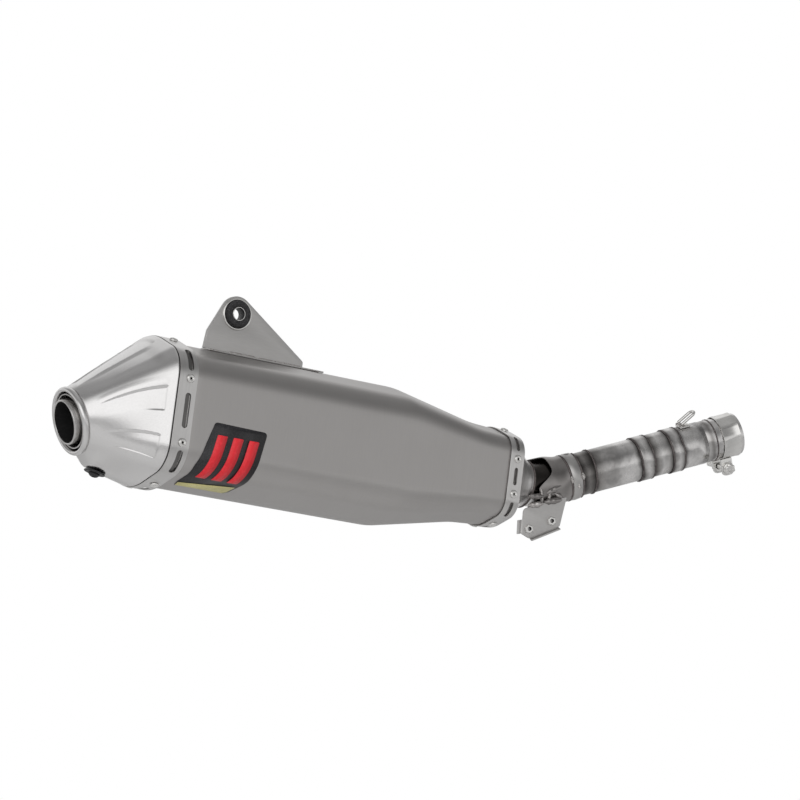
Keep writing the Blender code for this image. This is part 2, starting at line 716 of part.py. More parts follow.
def make_link_pipe():
    """The bent pipe, its raised ring sections, mouth shell, inlet socket and spring hook."""
    bend = math.acos(PIPE_DIRECTION.x)
    tangent = BEND_RADIUS * math.tan(bend / 2)
    aside = Vector((0, PIPE_DIRECTION.y, PIPE_DIRECTION.z)).normalized()
    centre = Vector((BEND_X - tangent, 0, 0)) + aside * BEND_RADIUS
    points = [Vector((418 * MM, 0, 0))]
    steps = 6
    for step in range(steps + 1):
        turn = bend * step / steps
        spoke = Vector((math.sin(turn), 0, 0)) - aside * math.cos(turn)
        points.append(centre + spoke * BEND_RADIUS)
    points.append(Vector((BEND_X, 0, 0)) + PIPE_DIRECTION * PIPE_END)
    path = bpy.data.curves.new("link_pipe", "CURVE")
    path.dimensions = "3D"
    path.bevel_depth = PIPE_RADIUS
    path.bevel_resolution = 12
    spline = path.splines.new("POLY")
    spline.points.add(len(points) - 1)
    for point, place in zip(spline.points, points):
        point.co = (*place, 1.0)
    pipe = bpy.data.objects.new("link_pipe", path)
    PARTS.objects.link(pipe)
    pipe.parent = SILENCER
    paint(pipe, TINTED)
    thicken(pipe, PIPE_WALL)

    inner = PIPE_RADIUS + GAP
    for number, (low, high) in enumerate(RING_SPANS, start=1):
        tube(f"pipe_ring_{number}", inner + RING_WALL, inner, low, high, PIPE, SATIN_STEEL, 32)
    shell = (
        (inner + 1.5 * MM, 33 * MM),
        (inner + 1.5 * MM, 29 * MM),
        (27.5 * MM, 14 * MM),
        (28 * MM, -4 * MM),
        (26.6 * MM, -4 * MM),
        (26.2 * MM, 14 * MM),
        (inner, 29 * MM),
        (inner, 33 * MM),
    )
    mouth = turned("mouth_shell", shell, PIPE, SATIN_STEEL, 32)
    scoop = block("mouth_scoop", (40 * MM, 60 * MM, 40 * MM), (33 * MM, 6 * MM, -10 * MM), PIPE,
                  turn=Matrix.Rotation(math.radians(-28), 4, "Y"))
    cut(mouth, scoop)

    socket = tube("inlet_socket", SOCKET_RADIUS, SOCKET_BORE, PIPE_END + GAP, SOCKET_END, PIPE,
                  SATIN_STEEL, 36)
    slit = block("socket_slit", (60 * MM, 2.5 * MM, 30 * MM), (0, 0, SOCKET_END), PIPE)
    cut(socket, slit)
    make_spring_hook()


def make_spring_hook():
    """A wire loop on an oval pad, on the upper side of the pipe."""
    top = PIPE_RADIUS + GAP
    low, high, half = HOOK_FOOT - 3 * MM, HOOK_FOOT + 9 * MM, 6 * MM
    reach = math.asin(half / top)
    rows = arc((0, 0), top, HOOK_TURN - reach, HOOK_TURN + reach, 4)
    rings = [[Vector((x, y, z)) for z in (high, low)] for x, y in rows]
    pad = new_object("hook_pad", strip_mesh("hook_pad", rings, closed=False), PIPE, SATIN_STEEL)
    thicken(pad, 2 * MM, outwards=True)
    wire = bpy.data.curves.new("spring_hook", "CURVE")
    wire.dimensions = "3D"
    wire.bevel_depth = HOOK_WIRE
    wire.bevel_resolution = 2
    wire.use_fill_caps = True
    half_width, height, lean = 4.5 * MM, 19 * MM, HOOK_LEAN
    foot = top + 2 * MM + HOOK_WIRE * math.sin(lean) + GAP
    crown = arc((0, height - half_width), half_width, math.pi, 0, 8)
    loop = [(-half_width, 0.0)] + crown + [(half_width, 0.0)]
    spline = wire.splines.new("POLY")
    spline.points.add(len(loop) - 1)
    for point, (side, up) in zip(spline.points, loop):
        out = foot + up * math.cos(lean)
        x = out * math.cos(HOOK_TURN) - side * math.sin(HOOK_TURN)
        y = out * math.sin(HOOK_TURN) + side * math.cos(HOOK_TURN)
        point.co = (x, y, HOOK_FOOT + up * math.sin(lean), 1.0)
    hook = bpy.data.objects.new("spring_hook", wire)
    PARTS.objects.link(hook)
    hook.parent = PIPE
    paint(hook, BRIGHT_ZINC)


# ---------------------------------------------------------------- lower bracket

def make_lower_bracket():
    """Folded bracket under the pipe's bend, with two weld nuts and the saddle that ties it on."""
    near, back = 23 * MM, 14 * MM
    lip = 4 * MM
    corners = ((-19, -26), (-18.5, 24), (-46, 8), (-50.5, -28.5), (-44, -35), (-28.5, -29.7))
    plate = [Vector((x * MM, near, z * MM)) for x, z in corners]
    bottom_right, bottom_left, corner_left, upper_left = plate[2:]
    flange = [Vector((point.x, back, point.z)) for point in (corner_left, upper_left)]
    edge = [point + Vector((-1.5 * MM, lip, 0)) for point in (bottom_right, bottom_left)]
    mesh = bpy.data.meshes.new("lower_bracket")
    points = plate + flange + edge
    faces = [(0, 1, 2, 3, 4, 5), (5, 4, 6, 7), (3, 2, 8, 9)]
    mesh.from_pydata([tuple(point) for point in points], [], faces)
    bracket = new_object("lower_bracket", mesh, PIPE, SATIN_STEEL)
    thicken(bracket, 2 * MM, outwards=True)

    for number, (x, z) in enumerate(((-40.5 * MM, -26 * MM), (-38.5 * MM, 0 * MM)), start=1):
        place = Matrix.Translation((x, near + GAP, z)) @ Matrix.Rotation(math.radians(-90), 4, "X")
        tube(f"weld_nut_{number}", 5 * MM, 2 * MM, 0, 4 * MM, PIPE, BRIGHT_ZINC, 6, place)

    inner = PIPE_RADIUS + GAP
    saddle = tube("bracket_saddle", inner + 1.6 * MM, inner, 35 * MM, 46 * MM, PIPE, SATIN_STEEL, 32)
    cut(saddle, block("saddle_back", (60 * MM, 30 * MM, 30 * MM), (0, -19 * MM, 40 * MM), PIPE))


# ---------------------------------------------------------------- clamp

def make_clamp():
    """Open band with a fixed lug, the sliding lug with its nut, and the bolt with its washer."""
    half = CLAMP_WIDTH / 2
    band = tube("clamp_band", CLAMP_RADIUS, CLAMP_BORE, -half, half, CLAMP, BRIGHT_ZINC, 40)
    size = (30 * MM, 2 * LUG_INNER - 2 * GAP, 2 * CLAMP_WIDTH)
    cut(band, block("clamp_opening", size, (-25 * MM, 0, 0), CLAMP))
    lug_low, lug_width = -39 * MM, 13 * MM
    lug_middle = (LUG_INNER + LUG_OUTER) / 2
    lug_wall = LUG_OUTER - LUG_INNER
    fixed_top = -20.6 * MM
    size = (fixed_top - lug_low, lug_wall, lug_width)
    join(band, block("fixed_lug", size, ((fixed_top + lug_low) / 2, lug_middle, LUG_Z), CLAMP))
    bore = M6_RADIUS + 2 * GAP
    reach = 30 * MM
    outline = ((0, reach), (bore, reach), (bore, -reach), (0, -reach))
    bolt_hole = rod("bolt_hole", outline, BOLT, steps=20)
    cut(band, bolt_hole)

    jaw_top = -CLAMP_RADIUS - 2 * GAP
    size = (jaw_top - lug_low, lug_wall, lug_width)
    jaw = block("clamp_jaw", size, ((jaw_top + lug_low) / 2, -lug_middle, LUG_Z), CLAMP, BRIGHT_ZINC)
    cut(jaw, bolt_hole)
    tube("clamp_nut", 5.8 * MM, bore, -LUG_OUTER - GAP - 5 * MM, -LUG_OUTER - GAP, BOLT, BRIGHT_ZINC, 6)

    seat = LUG_OUTER + GAP
    washer = 1.2 * MM
    tube("clamp_washer", 6.6 * MM, bore, seat, seat + washer, BOLT, BRIGHT_ZINC, 24)
    under = seat + washer + GAP
    flange = under + 1.5 * MM
    head = flange + 4.5 * MM
    shank = (
        (0, flange),
        (6.2 * MM, flange),
        (6.2 * MM, under),
        (M6_RADIUS, under),
        (M6_RADIUS, -34 * MM),
        (0, -34 * MM),
    )
    bolt = rod("clamp_bolt", shank, BOLT, BRIGHT_ZINC, 20)
    corner, sunk = 5.6 * MM, under + 1 * MM
    outline = ((0, head), (corner, head), (corner, sunk), (0, sunk))
    join(bolt, rod("clamp_bolt_hexagon", outline, BOLT, steps=6))


make_silencer()
make_badge()
make_inner_parts()
make_outlet()
make_hanger()
make_link_pipe()
make_lower_bracket()
make_clamp()
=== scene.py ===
"""Looks of the racing exhaust system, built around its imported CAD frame.

Metres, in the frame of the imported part: X runs along the silencer, with the outlet at -X.
"""

import json
import math

import bmesh
import bpy
from mathutils import Matrix, Vector

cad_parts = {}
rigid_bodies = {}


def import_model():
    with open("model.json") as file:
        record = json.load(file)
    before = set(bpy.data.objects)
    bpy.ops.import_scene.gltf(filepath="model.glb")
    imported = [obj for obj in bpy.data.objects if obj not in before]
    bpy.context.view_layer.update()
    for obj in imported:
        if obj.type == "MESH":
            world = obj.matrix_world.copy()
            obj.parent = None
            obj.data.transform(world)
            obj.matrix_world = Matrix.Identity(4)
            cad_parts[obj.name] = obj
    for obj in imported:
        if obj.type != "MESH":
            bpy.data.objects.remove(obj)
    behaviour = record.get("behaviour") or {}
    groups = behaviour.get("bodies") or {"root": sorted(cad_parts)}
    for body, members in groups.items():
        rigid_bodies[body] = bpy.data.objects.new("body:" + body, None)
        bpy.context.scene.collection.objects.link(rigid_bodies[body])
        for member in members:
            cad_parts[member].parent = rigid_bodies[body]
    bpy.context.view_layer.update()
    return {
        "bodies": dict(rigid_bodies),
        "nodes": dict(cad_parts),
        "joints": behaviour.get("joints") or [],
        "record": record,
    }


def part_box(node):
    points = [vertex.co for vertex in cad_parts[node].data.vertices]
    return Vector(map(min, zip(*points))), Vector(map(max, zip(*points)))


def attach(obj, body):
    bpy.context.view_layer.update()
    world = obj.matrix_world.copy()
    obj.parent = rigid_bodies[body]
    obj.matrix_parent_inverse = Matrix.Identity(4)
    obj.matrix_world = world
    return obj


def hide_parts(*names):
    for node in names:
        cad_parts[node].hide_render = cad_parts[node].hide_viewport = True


for leftover in list(bpy.data.objects):
    bpy.data.objects.remove(leftover, do_unlink=True)

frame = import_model()
JOINTS = {joint["name"]: joint for joint in frame["record"]["behaviour"]["joints"]}

MM = 0.001
GAP = 0.3 * MM
SHARP_ANGLE = math.radians(38)
X_AXIS, Y_AXIS, Z_AXIS = Vector((1, 0, 0)), Vector((0, 1, 0)), Vector((0, 0, 1))

# ---------------------------------------------------------------- driving dimensions

HALF_WIDTH = 72.0 * MM
APEX = 79.0 * MM
SHOULDER = 55.0 * MM
SIDE_RADIUS = 32.0 * MM
APEX_RADIUS = 80.0 * MM
BAND_WALL = 1.5 * MM
SHEET = 1.2 * MM
SLEEVE_INSET = 3.9 * MM
BAND_WIDTH = 20.0 * MM
TAPER_START, TAPER_END = 270.0 * MM, 366.0 * MM
TAPER_SCALE, FRONT_SCALE = 0.735, 0.692
FRONT_BAND_START, FRONT_BAND_END = 398.0 * MM, 415.0 * MM
SLEEVE_START, SLEEVE_END = 3.0 * MM, 412.0 * MM
INLET_CAP_END = 448.0 * MM
LIP_X, LIP_Z = -74.8 * MM, -23.0 * MM
LIP_BORE = 28.6 * MM
BELLY_SHARE, BELLY_DEPTH = 0.8, 6.9 * MM
BELLY_SIDE, BELLY_LOW = 45.0, 82.0
SCREW_SHANK, SCREW_HOLE = 32.8 * MM, 3.6 * MM
DRILL_REACH = 9.0 * MM
RING_WALL = 0.8 * MM
HOOK_FOOT, HOOK_WIRE = 173.0 * MM, 1.6 * MM
HOOK_LEAN, HOOK_TURN = math.radians(62), math.radians(18)
# the way the end cap's belly swells: mostly down, and a little out of the cap
BELLY_OUT = Vector((-0.3352, 0, -0.9422))
BEND_X, BEND_RADIUS = 462.0 * MM, 51.0 * MM
PIPE_RADIUS = 22.5 * MM
PIPE_END, SOCKET_END = 193.0 * MM, 235.0 * MM
RING_SPANS = ((116.0 * MM, 130.0 * MM), (152.0 * MM, 165.0 * MM))
RIVET_HEIGHT, RIVET_ACROSS, FRONT_RIVET_HEIGHT = 31.0 * MM, 26.0 * MM, 18.0 * MM

ARC_STEPS = 16
FLAT_STEPS = 20

# ---------------------------------------------------------------- frames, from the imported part


def axes(point, z, x):
    """A matrix with local Z along z and local X as near to x as it can be."""
    z = Vector(z).normalized()
    x = (Vector(x) - z * z.dot(Vector(x))).normalized()
    turn = Matrix((x, z.cross(x), z)).transposed().to_4x4()
    return Matrix.Translation(point) @ turn


rear_low, rear_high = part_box("rear_band")
SILENCER = Matrix.Translation((rear_low.x - GAP, 0, (rear_low.z + rear_high.z) / 2))
OUTLET_OUT = Vector(JOINTS["insert_slide"]["axis"])
PIPE_OUT = Vector(JOINTS["clamp_swivel"]["axis"])
SCREW_OUT = Vector(JOINTS["insert_screw_travel"]["axis"])
OUTLET = axes(SILENCER @ Vector((LIP_X, 0, LIP_Z)), OUTLET_OUT, Z_AXIS)
PIPE = axes(SILENCER @ Vector((BEND_X, 0, 0)), PIPE_OUT, Z_AXIS)
SCREW = axes(JOINTS["insert_screw_spin"]["pos_m"], SCREW_OUT, X_AXIS)
BOLT_OUT = Vector(JOINTS["clamp_jaw_close"]["axis"])
CLAMP = axes(JOINTS["clamp_swivel"]["pos_m"], PIPE_OUT, BOLT_OUT.cross(PIPE_OUT))
BOLT = axes(JOINTS["clamp_bolt_spin"]["pos_m"], BOLT_OUT, CLAMP.col[0].to_3d())
HANGER = axes((0, 0, 0), -Y_AXIS, Z_AXIS)

# ---------------------------------------------------------------- materials


class Shader:
    """A Principled material with helpers for the few procedural patterns used here."""

    def __init__(self, name, roughness, metallic=1.0, **constants):
        self.material = bpy.data.materials.new(name)
        self.material.use_nodes = True
        self.nodes = self.material.node_tree.nodes
        self.links = self.material.node_tree.links
        self.surface = self.nodes["Principled BSDF"]
        self.surface.inputs["Roughness"].default_value = roughness
        self.surface.inputs["Metallic"].default_value = metallic
        for socket, value in constants.items():
            self.surface.inputs[socket.replace("_", " ")].default_value = value
        self.place = self.nodes.new("ShaderNodeTexCoord").outputs["Object"]

    def noise(self, scale, detail=4.0, stretch=(1, 1, 1)):
        """Noise on object coordinates, drawn out along an axis by a small stretch value."""
        mapping = self.nodes.new("ShaderNodeMapping")
        mapping.inputs["Scale"].default_value = stretch
        self.links.new(self.place, mapping.inputs["Vector"])
        texture = self.nodes.new("ShaderNodeTexNoise")
        texture.inputs["Scale"].default_value = scale
        texture.inputs["Detail"].default_value = detail
        self.links.new(mapping.outputs["Vector"], texture.inputs["Vector"])
        return texture.outputs["Fac"]

    def spots(self, scale):
        """Distance to the nearest of many scattered points."""
        texture = self.nodes.new("ShaderNodeTexVoronoi")
        texture.inputs["Scale"].default_value = scale
        self.links.new(self.place, texture.inputs["Vector"])
        return texture.outputs["Distance"]

    def along(self, origin, direction, length):
        """0 to 1 over a length measured from a point along a direction."""
        away = self.nodes.new("ShaderNodeVectorMath")
        away.operation = "SUBTRACT"
        away.inputs[1].default_value = origin
        self.links.new(self.place, away.inputs[0])
        dot = self.nodes.new("ShaderNodeVectorMath")
        dot.operation = "DOT_PRODUCT"
        dot.inputs[1].default_value = direction
        self.links.new(away.outputs["Vector"], dot.inputs[0])
        return self.math("DIVIDE", dot.outputs["Value"], length)

    def math(self, operation, first, second=0.0):
        node = self.nodes.new("ShaderNodeMath")
        node.operation = operation
        for socket, value in zip(node.inputs, (first, second)):
            if isinstance(value, (int, float)):
                socket.default_value = value
            else:
                self.links.new(value, socket)
        return node.outputs["Value"]

    def ramp(self, factor, stops):
        """A colour ramp; a stop is (position, colour) and a colour may be one grey value."""
        node = self.nodes.new("ShaderNodeValToRGB")
        ramp = node.color_ramp
        ramp.interpolation = "LINEAR"
        while len(ramp.elements) < len(stops):
            ramp.elements.new(0.5)
        for element, (position, colour) in zip(ramp.elements, stops):
            grey = isinstance(colour, (int, float))
            element.position = position
            element.color = (colour, colour, colour, 1) if grey else (*colour, 1)
        self.links.new(factor, node.inputs["Fac"])
        return node.outputs["Color"]

    def mix(self, mode, factor, first, second):
        node = self.nodes.new("ShaderNodeMix")
        node.data_type = "RGBA"
        node.blend_type = mode
        sockets = (node.inputs["Factor"], node.inputs[6], node.inputs[7])
        for socket, value in zip(sockets, (factor, first, second)):
            if isinstance(value, (int, float)):
                socket.default_value = value
            elif isinstance(value, tuple):
                socket.default_value = (*value, 1)
            else:
                self.links.new(value, socket)
        return node.outputs[2]

    def colour(self, output):
        self.links.new(output, self.surface.inputs["Base Color"])
        return self

    def rough(self, factor, low, high):
        node = self.nodes.new("ShaderNodeMapRange")
        node.inputs["To Min"].default_value = low
        node.inputs["To Max"].default_value = high
        self.links.new(factor, node.inputs["Value"])
        self.links.new(node.outputs["Result"], self.surface.inputs["Roughness"])
        return self

    def bump(self, height, depth):
        node = self.nodes.new("ShaderNodeBump")
        node.inputs["Strength"].default_value = 1.0
        node.inputs["Distance"].default_value = depth
        self.links.new(height, node.inputs["Height"])
        self.links.new(node.outputs["Normal"], self.surface.inputs["Normal"])
        return self


def brushed(name, dark, light, rough, stretch, grain=900.0, depth=0.02 * MM):
    """Metal with fine lines drawn out along an axis, soft cloudy tone and worn roughness."""
    shader = Shader(name, rough[0])
    lines = shader.noise(grain, 3.0, stretch)
    cloud = shader.noise(16.0, 3.0)
    line_share, cloud_share = 0.45, 0.55
    fine, broad = shader.math("MULTIPLY", lines, line_share), shader.math("MULTIPLY", cloud, cloud_share)
    tone = shader.math("ADD", fine, broad)
    shader.colour(shader.ramp(tone, ((0.30, dark), (0.70, light))))
    shader.rough(tone, *rough)
    return shader.bump(lines, depth).material


def tint_and_shade_stops():
    """Tint along the link pipe, as (millimetres from the bend, colour): soot beside the welds, painted shade
    over the bend under the mouth shell, and pale bands that are partly painted highlight.
    """
    steel, smoke, weld_soot_and_shade = (0.60, 0.585, 0.575), (0.34, 0.325, 0.315), (0.055, 0.05, 0.047)
    pale = (0.86, 0.845, 0.835)
    return (
        (-60, pale), (-13, pale), (-9, weld_soot_and_shade), (26, weld_soot_and_shade), (32, smoke), (48, weld_soot_and_shade), (54, smoke), (62, weld_soot_and_shade),
        (66, smoke), (76, steel), (84, steel), (98, pale), (110, pale), (115.5, weld_soot_and_shade), (119, steel),
        (123, pale), (127, steel), (130.5, weld_soot_and_shade), (134, smoke), (140, pale), (147, steel), (151.5, weld_soot_and_shade),
        (155, steel), (159, pale), (162, steel), (165.5, weld_soot_and_shade), (170, pale), (184, pale), (196, steel),
        (199, smoke), (203, pale), (241, pale),
    )


def heat_tinted_and_shaded(name):
    """Pale tube, sooty beside its welds, near-black over the bend as painted shade under the mouth shell,
    pale bands partly painted highlight, with smudges and a fine grain.
    """
    shader = Shader(name, 0.3)
    low, high = -60.0, 245.0
    smudge = shader.noise(55.0, 5.0)
    fine = shader.noise(420.0, 4.0, (1.0, 1.0, 0.5))
    origin = PIPE @ Vector((0, 0, low * MM))
    reach = shader.along(origin, PIPE_OUT, (high - low) * MM)
    raggedness = 0.022
    wander = shader.math("MULTIPLY", shader.math("SUBTRACT", smudge, 0.5), raggedness)
    place = shader.math("ADD", reach, wander)
    stops = [((at - low) / (high - low), colour) for at, colour in tint_and_shade_stops()]
    tint = shader.ramp(place, stops)
    dirt = shader.ramp(smudge, ((0.36, 0.55), (0.54, 1.0)))
    tint = shader.mix("MULTIPLY", 0.65, tint, dirt)
    grain = shader.ramp(fine, ((0.3, 0.86), (0.7, 1.0)))
    shader.colour(shader.mix("MULTIPLY", 1.0, tint, grain))
    shader.rough(smudge, 0.16, 0.34)
    return shader.bump(fine, 0.03 * MM).material


def speckled(name, dark, light, scale, roughness, depth=0.15 * MM):
    """Rubber, oxide or moulded skin: dark with a fine pale grain."""
    shader = Shader(name, roughness, 0.0)
    grain = shader.noise(scale, 6.0)
    shader.colour(shader.ramp(grain, ((0.50, dark), (0.72, light))))
    shader.rough(grain, roughness - 0.1, roughness + 0.12)
    return shader.bump(grain, depth).material


SLEEVE_METAL = brushed("sleeve_titanium_look", (0.475, 0.46, 0.45), (0.515, 0.50, 0.49), (0.34, 0.44),
                       (1, 0.05, 0.05))
CAP_METAL = brushed("cap_brushed_look", (0.74, 0.73, 0.725), (0.84, 0.83, 0.825), (0.20, 0.30), (0.08, 1, 1))
# painted shade for the end cap's skirt and rim edge under the rear band
SHADED_METAL = brushed("shaded_steel_look", (0.16, 0.155, 0.15), (0.24, 0.235, 0.23), (0.4, 0.5),
                       (1, 0.1, 0.1))
BAND_METAL = brushed("band_steel_look", (0.60, 0.59, 0.58), (0.74, 0.73, 0.72), (0.24, 0.34), (1, 0.04, 0.04))
INLET_METAL = brushed("inlet_cap_look", (0.80, 0.79, 0.78), (0.90, 0.89, 0.88), (0.30, 0.42), (1, 0.1, 0.1),
                      500.0)
PLATE_METAL = brushed("plate_satin_look", (0.50, 0.49, 0.48), (0.58, 0.57, 0.56), (0.34, 0.44), (0.1, 1, 1))
TUBE_METAL = brushed("tube_steel_look", (0.55, 0.54, 0.53), (0.74, 0.73, 0.72), (0.18, 0.30), (0.1, 1, 1))
BRIGHT_METAL = brushed("bright_zinc_look", (0.74, 0.73, 0.71), (0.90, 0.89, 0.87), (0.16, 0.28),
                       (0.3, 1, 1), 600.0)
WELD_METAL = brushed("weld_bead_look", (0.34, 0.31, 0.30), (0.80, 0.78, 0.76), (0.18, 0.36), (1, 1, 1),
                     300.0, 0.06 * MM)
SCORCHED_WELD = brushed("scorched_weld_look", (0.05, 0.04, 0.045), (0.30, 0.27, 0.26), (0.3, 0.5),
                        (1, 1, 1), 260.0, 0.08 * MM)
# the link pipe's tint: heat tint by the welds, painted shade under the mouth shell, pale bands partly painted
# highlight
HEAT_TINT_AND_SHADE_METAL = heat_tinted_and_shaded("heat_tinted_and_shaded_look")
SMOKED_METAL = brushed("smoked_steel_look", (0.16, 0.15, 0.145), (0.46, 0.44, 0.43), (0.2, 0.36), (1, 1, 1),
                       40.0, 0.3 * MM)
RUBBER = speckled("grommet_rubber_look", (0.012, 0.012, 0.013), (0.10, 0.095, 0.10), 1400.0, 0.62)
# near-black: real soot in the insert's bore, painted shade in rivet hollows, nut holes and inside the mouth
# shell
SOOT_AND_SHADE = speckled("soot_and_shade_look", (0.004, 0.004, 0.004), (0.012, 0.011, 0.011), 500.0, 0.8)
# black oxide on the screw and washer, and painted shade in the bush's bore
BLACK_OXIDE_AND_SHADE = speckled("black_oxide_and_shade_look", (0.012, 0.012, 0.014), (0.05, 0.05, 0.052), 900.0, 0.42)
BADGE_BLACK = speckled("badge_black_look", (0.008, 0.008, 0.010), (0.075, 0.07, 0.075), 1800.0, 0.36,
                       0.03 * MM)
BADGE_RED = speckled("badge_red_look", (0.80, 0.018, 0.030), (0.90, 0.035, 0.05), 300.0, 0.35, 0.01 * MM)
BADGE_YELLOW = speckled("badge_yellow_look", (0.72, 0.66, 0.30), (0.56, 0.52, 0.22), 700.0, 0.4, 0.01 * MM)
PACKING = speckled("packing_wool_look", (0.45, 0.42, 0.30), (0.80, 0.76, 0.62), 240.0, 0.85, 0.8 * MM)


def core_material():
    """Steel with rows of dark perforations."""
    shader = Shader("perforated_core_look", 0.4)
    holes = shader.spots(260.0)
    shader.colour(shader.ramp(holes, ((0.30, 0.01), (0.36, 0.42))))
    return shader.bump(holes, 0.2 * MM).material


CORE_METAL = core_material()

# ---------------------------------------------------------------- mesh helpers


def link(name, mesh, material):
    obj = bpy.data.objects.new(name, mesh)
    bpy.context.scene.collection.objects.link(obj)
    mesh.materials.clear()
    mesh.materials.append(material)
    for polygon in mesh.polygons:
        polygon.use_smooth = True
    mesh.set_sharp_from_angle(angle=SHARP_ANGLE)
    return obj


def grid(name, rows, material, around=True, place=None):
    """Quads between rows of points; the mesh goes through the given matrix."""
    count = len(rows[0])
    points = [(place @ Vector(p)) if place else Vector(p) for row in rows for p in row]
    faces = []
    for row in range(len(rows) - 1):
        for step in range(count if around else count - 1):
            a, b = row * count + step, row * count + (step + 1) % count
            faces.append((a, b, b + count, a + count))
    mesh = bpy.data.meshes.new(name)
    mesh.from_pydata([tuple(p) for p in points], [], faces)
    mesh.validate()
    return link(name, mesh, material)


def circle(radius, height, steps, start=0.0, span=2 * math.pi):
    whole = abs(span - 2 * math.pi) < 1e-6
    count = steps if whole else steps + 1
    angles = [start + span * step / steps for step in range(count)]
    return [Vector((radius * math.cos(a), radius * math.sin(a), height)) for a in angles]


def turned(name, profile, place, material, steps=72, loop=True):
    """Turn (radius, height) points about local Z, outer side first and downwards."""
    rows = [circle(max(radius, 0.01 * MM), height, steps) for radius, height in profile]
    if loop:
        rows.append(rows[0])
    obj = grid(name, rows, material, place=place)
    tidy(obj)
    return obj


def tidy(obj, recalculate=True):
    """Weld doubled points and turn the faces outwards."""
    shape = bmesh.new()
    shape.from_mesh(obj.data)
    bmesh.ops.remove_doubles(shape, verts=shape.verts, dist=0.004 * MM)
    if recalculate:
        bmesh.ops.recalc_face_normals(shape, faces=shape.faces)
    shape.to_mesh(obj.data)
    shape.free()
    obj.data.set_sharp_from_angle(angle=SHARP_ANGLE)


def soften(obj, width, segments=3, angle=35.0):
    """Round the hard edges."""
    bevel = obj.modifiers.new("round", "BEVEL")
    bevel.width = width
    bevel.segments = segments
    bevel.limit_method = "ANGLE"
    bevel.angle_limit = math.radians(angle)
    bevel.harden_normals = True


def wall(obj, thickness, offset=-1.0, inside=None):
    """Give a sheet its thickness, with another material on its inner side if one is given."""
    solid = obj.modifiers.new("wall", "SOLIDIFY")
    solid.thickness = thickness
    solid.offset = offset
    if inside:
        obj.data.materials.append(inside)
        solid.material_offset = 1


def tint_faces(obj, material, chosen):
    """Give a second material to the faces whose middle passes a test."""
    obj.data.materials.append(material)
    index = len(obj.data.materials) - 1
    for polygon in obj.data.polygons:
        if chosen(polygon.center):
            polygon.material_index = index


def settle(obj):
    """Turn the object's modifiers into its mesh."""
    evaluated = obj.evaluated_get(bpy.context.evaluated_depsgraph_get())
    mesh = bpy.data.meshes.new_from_object(evaluated)
    obj.modifiers.clear()
    obj.data = mesh
    return obj


def cut(obj, cutters):
    """Take solids out of the object, and throw the solids away."""
    group = bpy.data.collections.new("cutters")
    bpy.context.scene.collection.children.link(group)
    for cutter in cutters:
        bpy.context.scene.collection.objects.unlink(cutter)
        group.objects.link(cutter)
    modifier = obj.modifiers.new("cut", "BOOLEAN")
    modifier.operand_type = "COLLECTION"
    modifier.collection = group
    settle(obj)
    for cutter in cutters:
        bpy.data.objects.remove(cutter)
    bpy.data.collections.remove(group)
    return obj


def drill(name, radius, place, top, bottom, material):
    """A cutter for a round hole along local Z."""
    profile = ((0, top), (radius, top), (radius, bottom), (0, bottom))
    return turned(name, profile, place, material, 24, loop=False)


def arc(centre, radius, start, end, steps):
    """Points (u, v) on an arc given in degrees, both ends included."""
    angles = [math.radians(start + (end - start) * i / steps) for i in range(steps + 1)]
    return [(centre[0] + radius * math.cos(a), centre[1] + radius * math.sin(a)) for a in angles]


def outlined(name, outline, depth, place, material, round_edge, holes=()):
    """A flat plate: (x, y) outline and holes, thick along local Z about its middle."""
    sheet = bpy.data.curves.new(name, "CURVE")
    sheet.dimensions = "2D"
    sheet.fill_mode = "BOTH"
    sheet.extrude = depth / 2 - round_edge
    sheet.bevel_depth = round_edge
    sheet.bevel_resolution = 3
    sheet.offset = -round_edge
    for points in (outline, *holes):
        spline = sheet.splines.new("POLY")
        spline.points.add(len(points) - 1)
        for point, (x, y) in zip(spline.points, points):
            point.co = (x, y, 0.0, 1.0)
        spline.use_cyclic_u = True
    source = bpy.data.objects.new(name + "_outline", sheet)
    bpy.context.scene.collection.objects.link(source)
    bpy.context.view_layer.update()
    mesh = bpy.data.meshes.new_from_object(source.evaluated_get(bpy.context.evaluated_depsgraph_get()))
    bpy.data.objects.remove(source)
    mesh.transform(place)
    obj = link(name, mesh, material)
    tidy(obj)
    return obj


def rounded(corners, radii, steps=6):
    """An outline whose corners are arcs."""
    points = []
    count = len(corners)
    for i, (corner, radius) in enumerate(zip(corners, radii)):
        here = Vector(corner)
        back = (Vector(corners[i - 1]) - here).normalized()
        ahead = (Vector(corners[(i + 1) % count]) - here).normalized()
        half = back.angle(ahead) / 2
        if radius <= 0:
            points.append(tuple(here))
            continue
        reach = radius / math.tan(half)
        for step in range(steps + 1):
            share = step / steps
            first = here + back * reach * (1 - share)
            second = here + ahead * reach * share
            points.append(tuple(first.lerp(second, share)))
    return points


def sweep(name, path, radius, material, sides=16, capped=True, normal=None):
    """A round bar along points; radius may be a function of the share of the way."""
    rows = []
    side = None
    count = len(path)
    for i, point in enumerate(path):
        ahead = (Vector(path[min(i + 1, count - 1)]) - Vector(path[max(i - 1, 0)])).normalized()
        if side is None:
            guess = Vector(normal) if normal else Z_AXIS if abs(ahead.z) < 0.9 else X_AXIS
            side = ahead.cross(guess).normalized()
        side = (side - ahead * side.dot(ahead)).normalized()
        other = ahead.cross(side)
        r = radius(i / (count - 1)) if callable(radius) else radius
        angles = [2 * math.pi * k / sides for k in range(sides)]
        rows.append([Vector(point) + (side * math.cos(a) + other * math.sin(a)) * r for a in angles])
    if capped:
        rows = [[Vector(path[0])] * sides] + rows + [[Vector(path[-1])] * sides]
    obj = grid(name, rows, material)
    tidy(obj)
    return obj


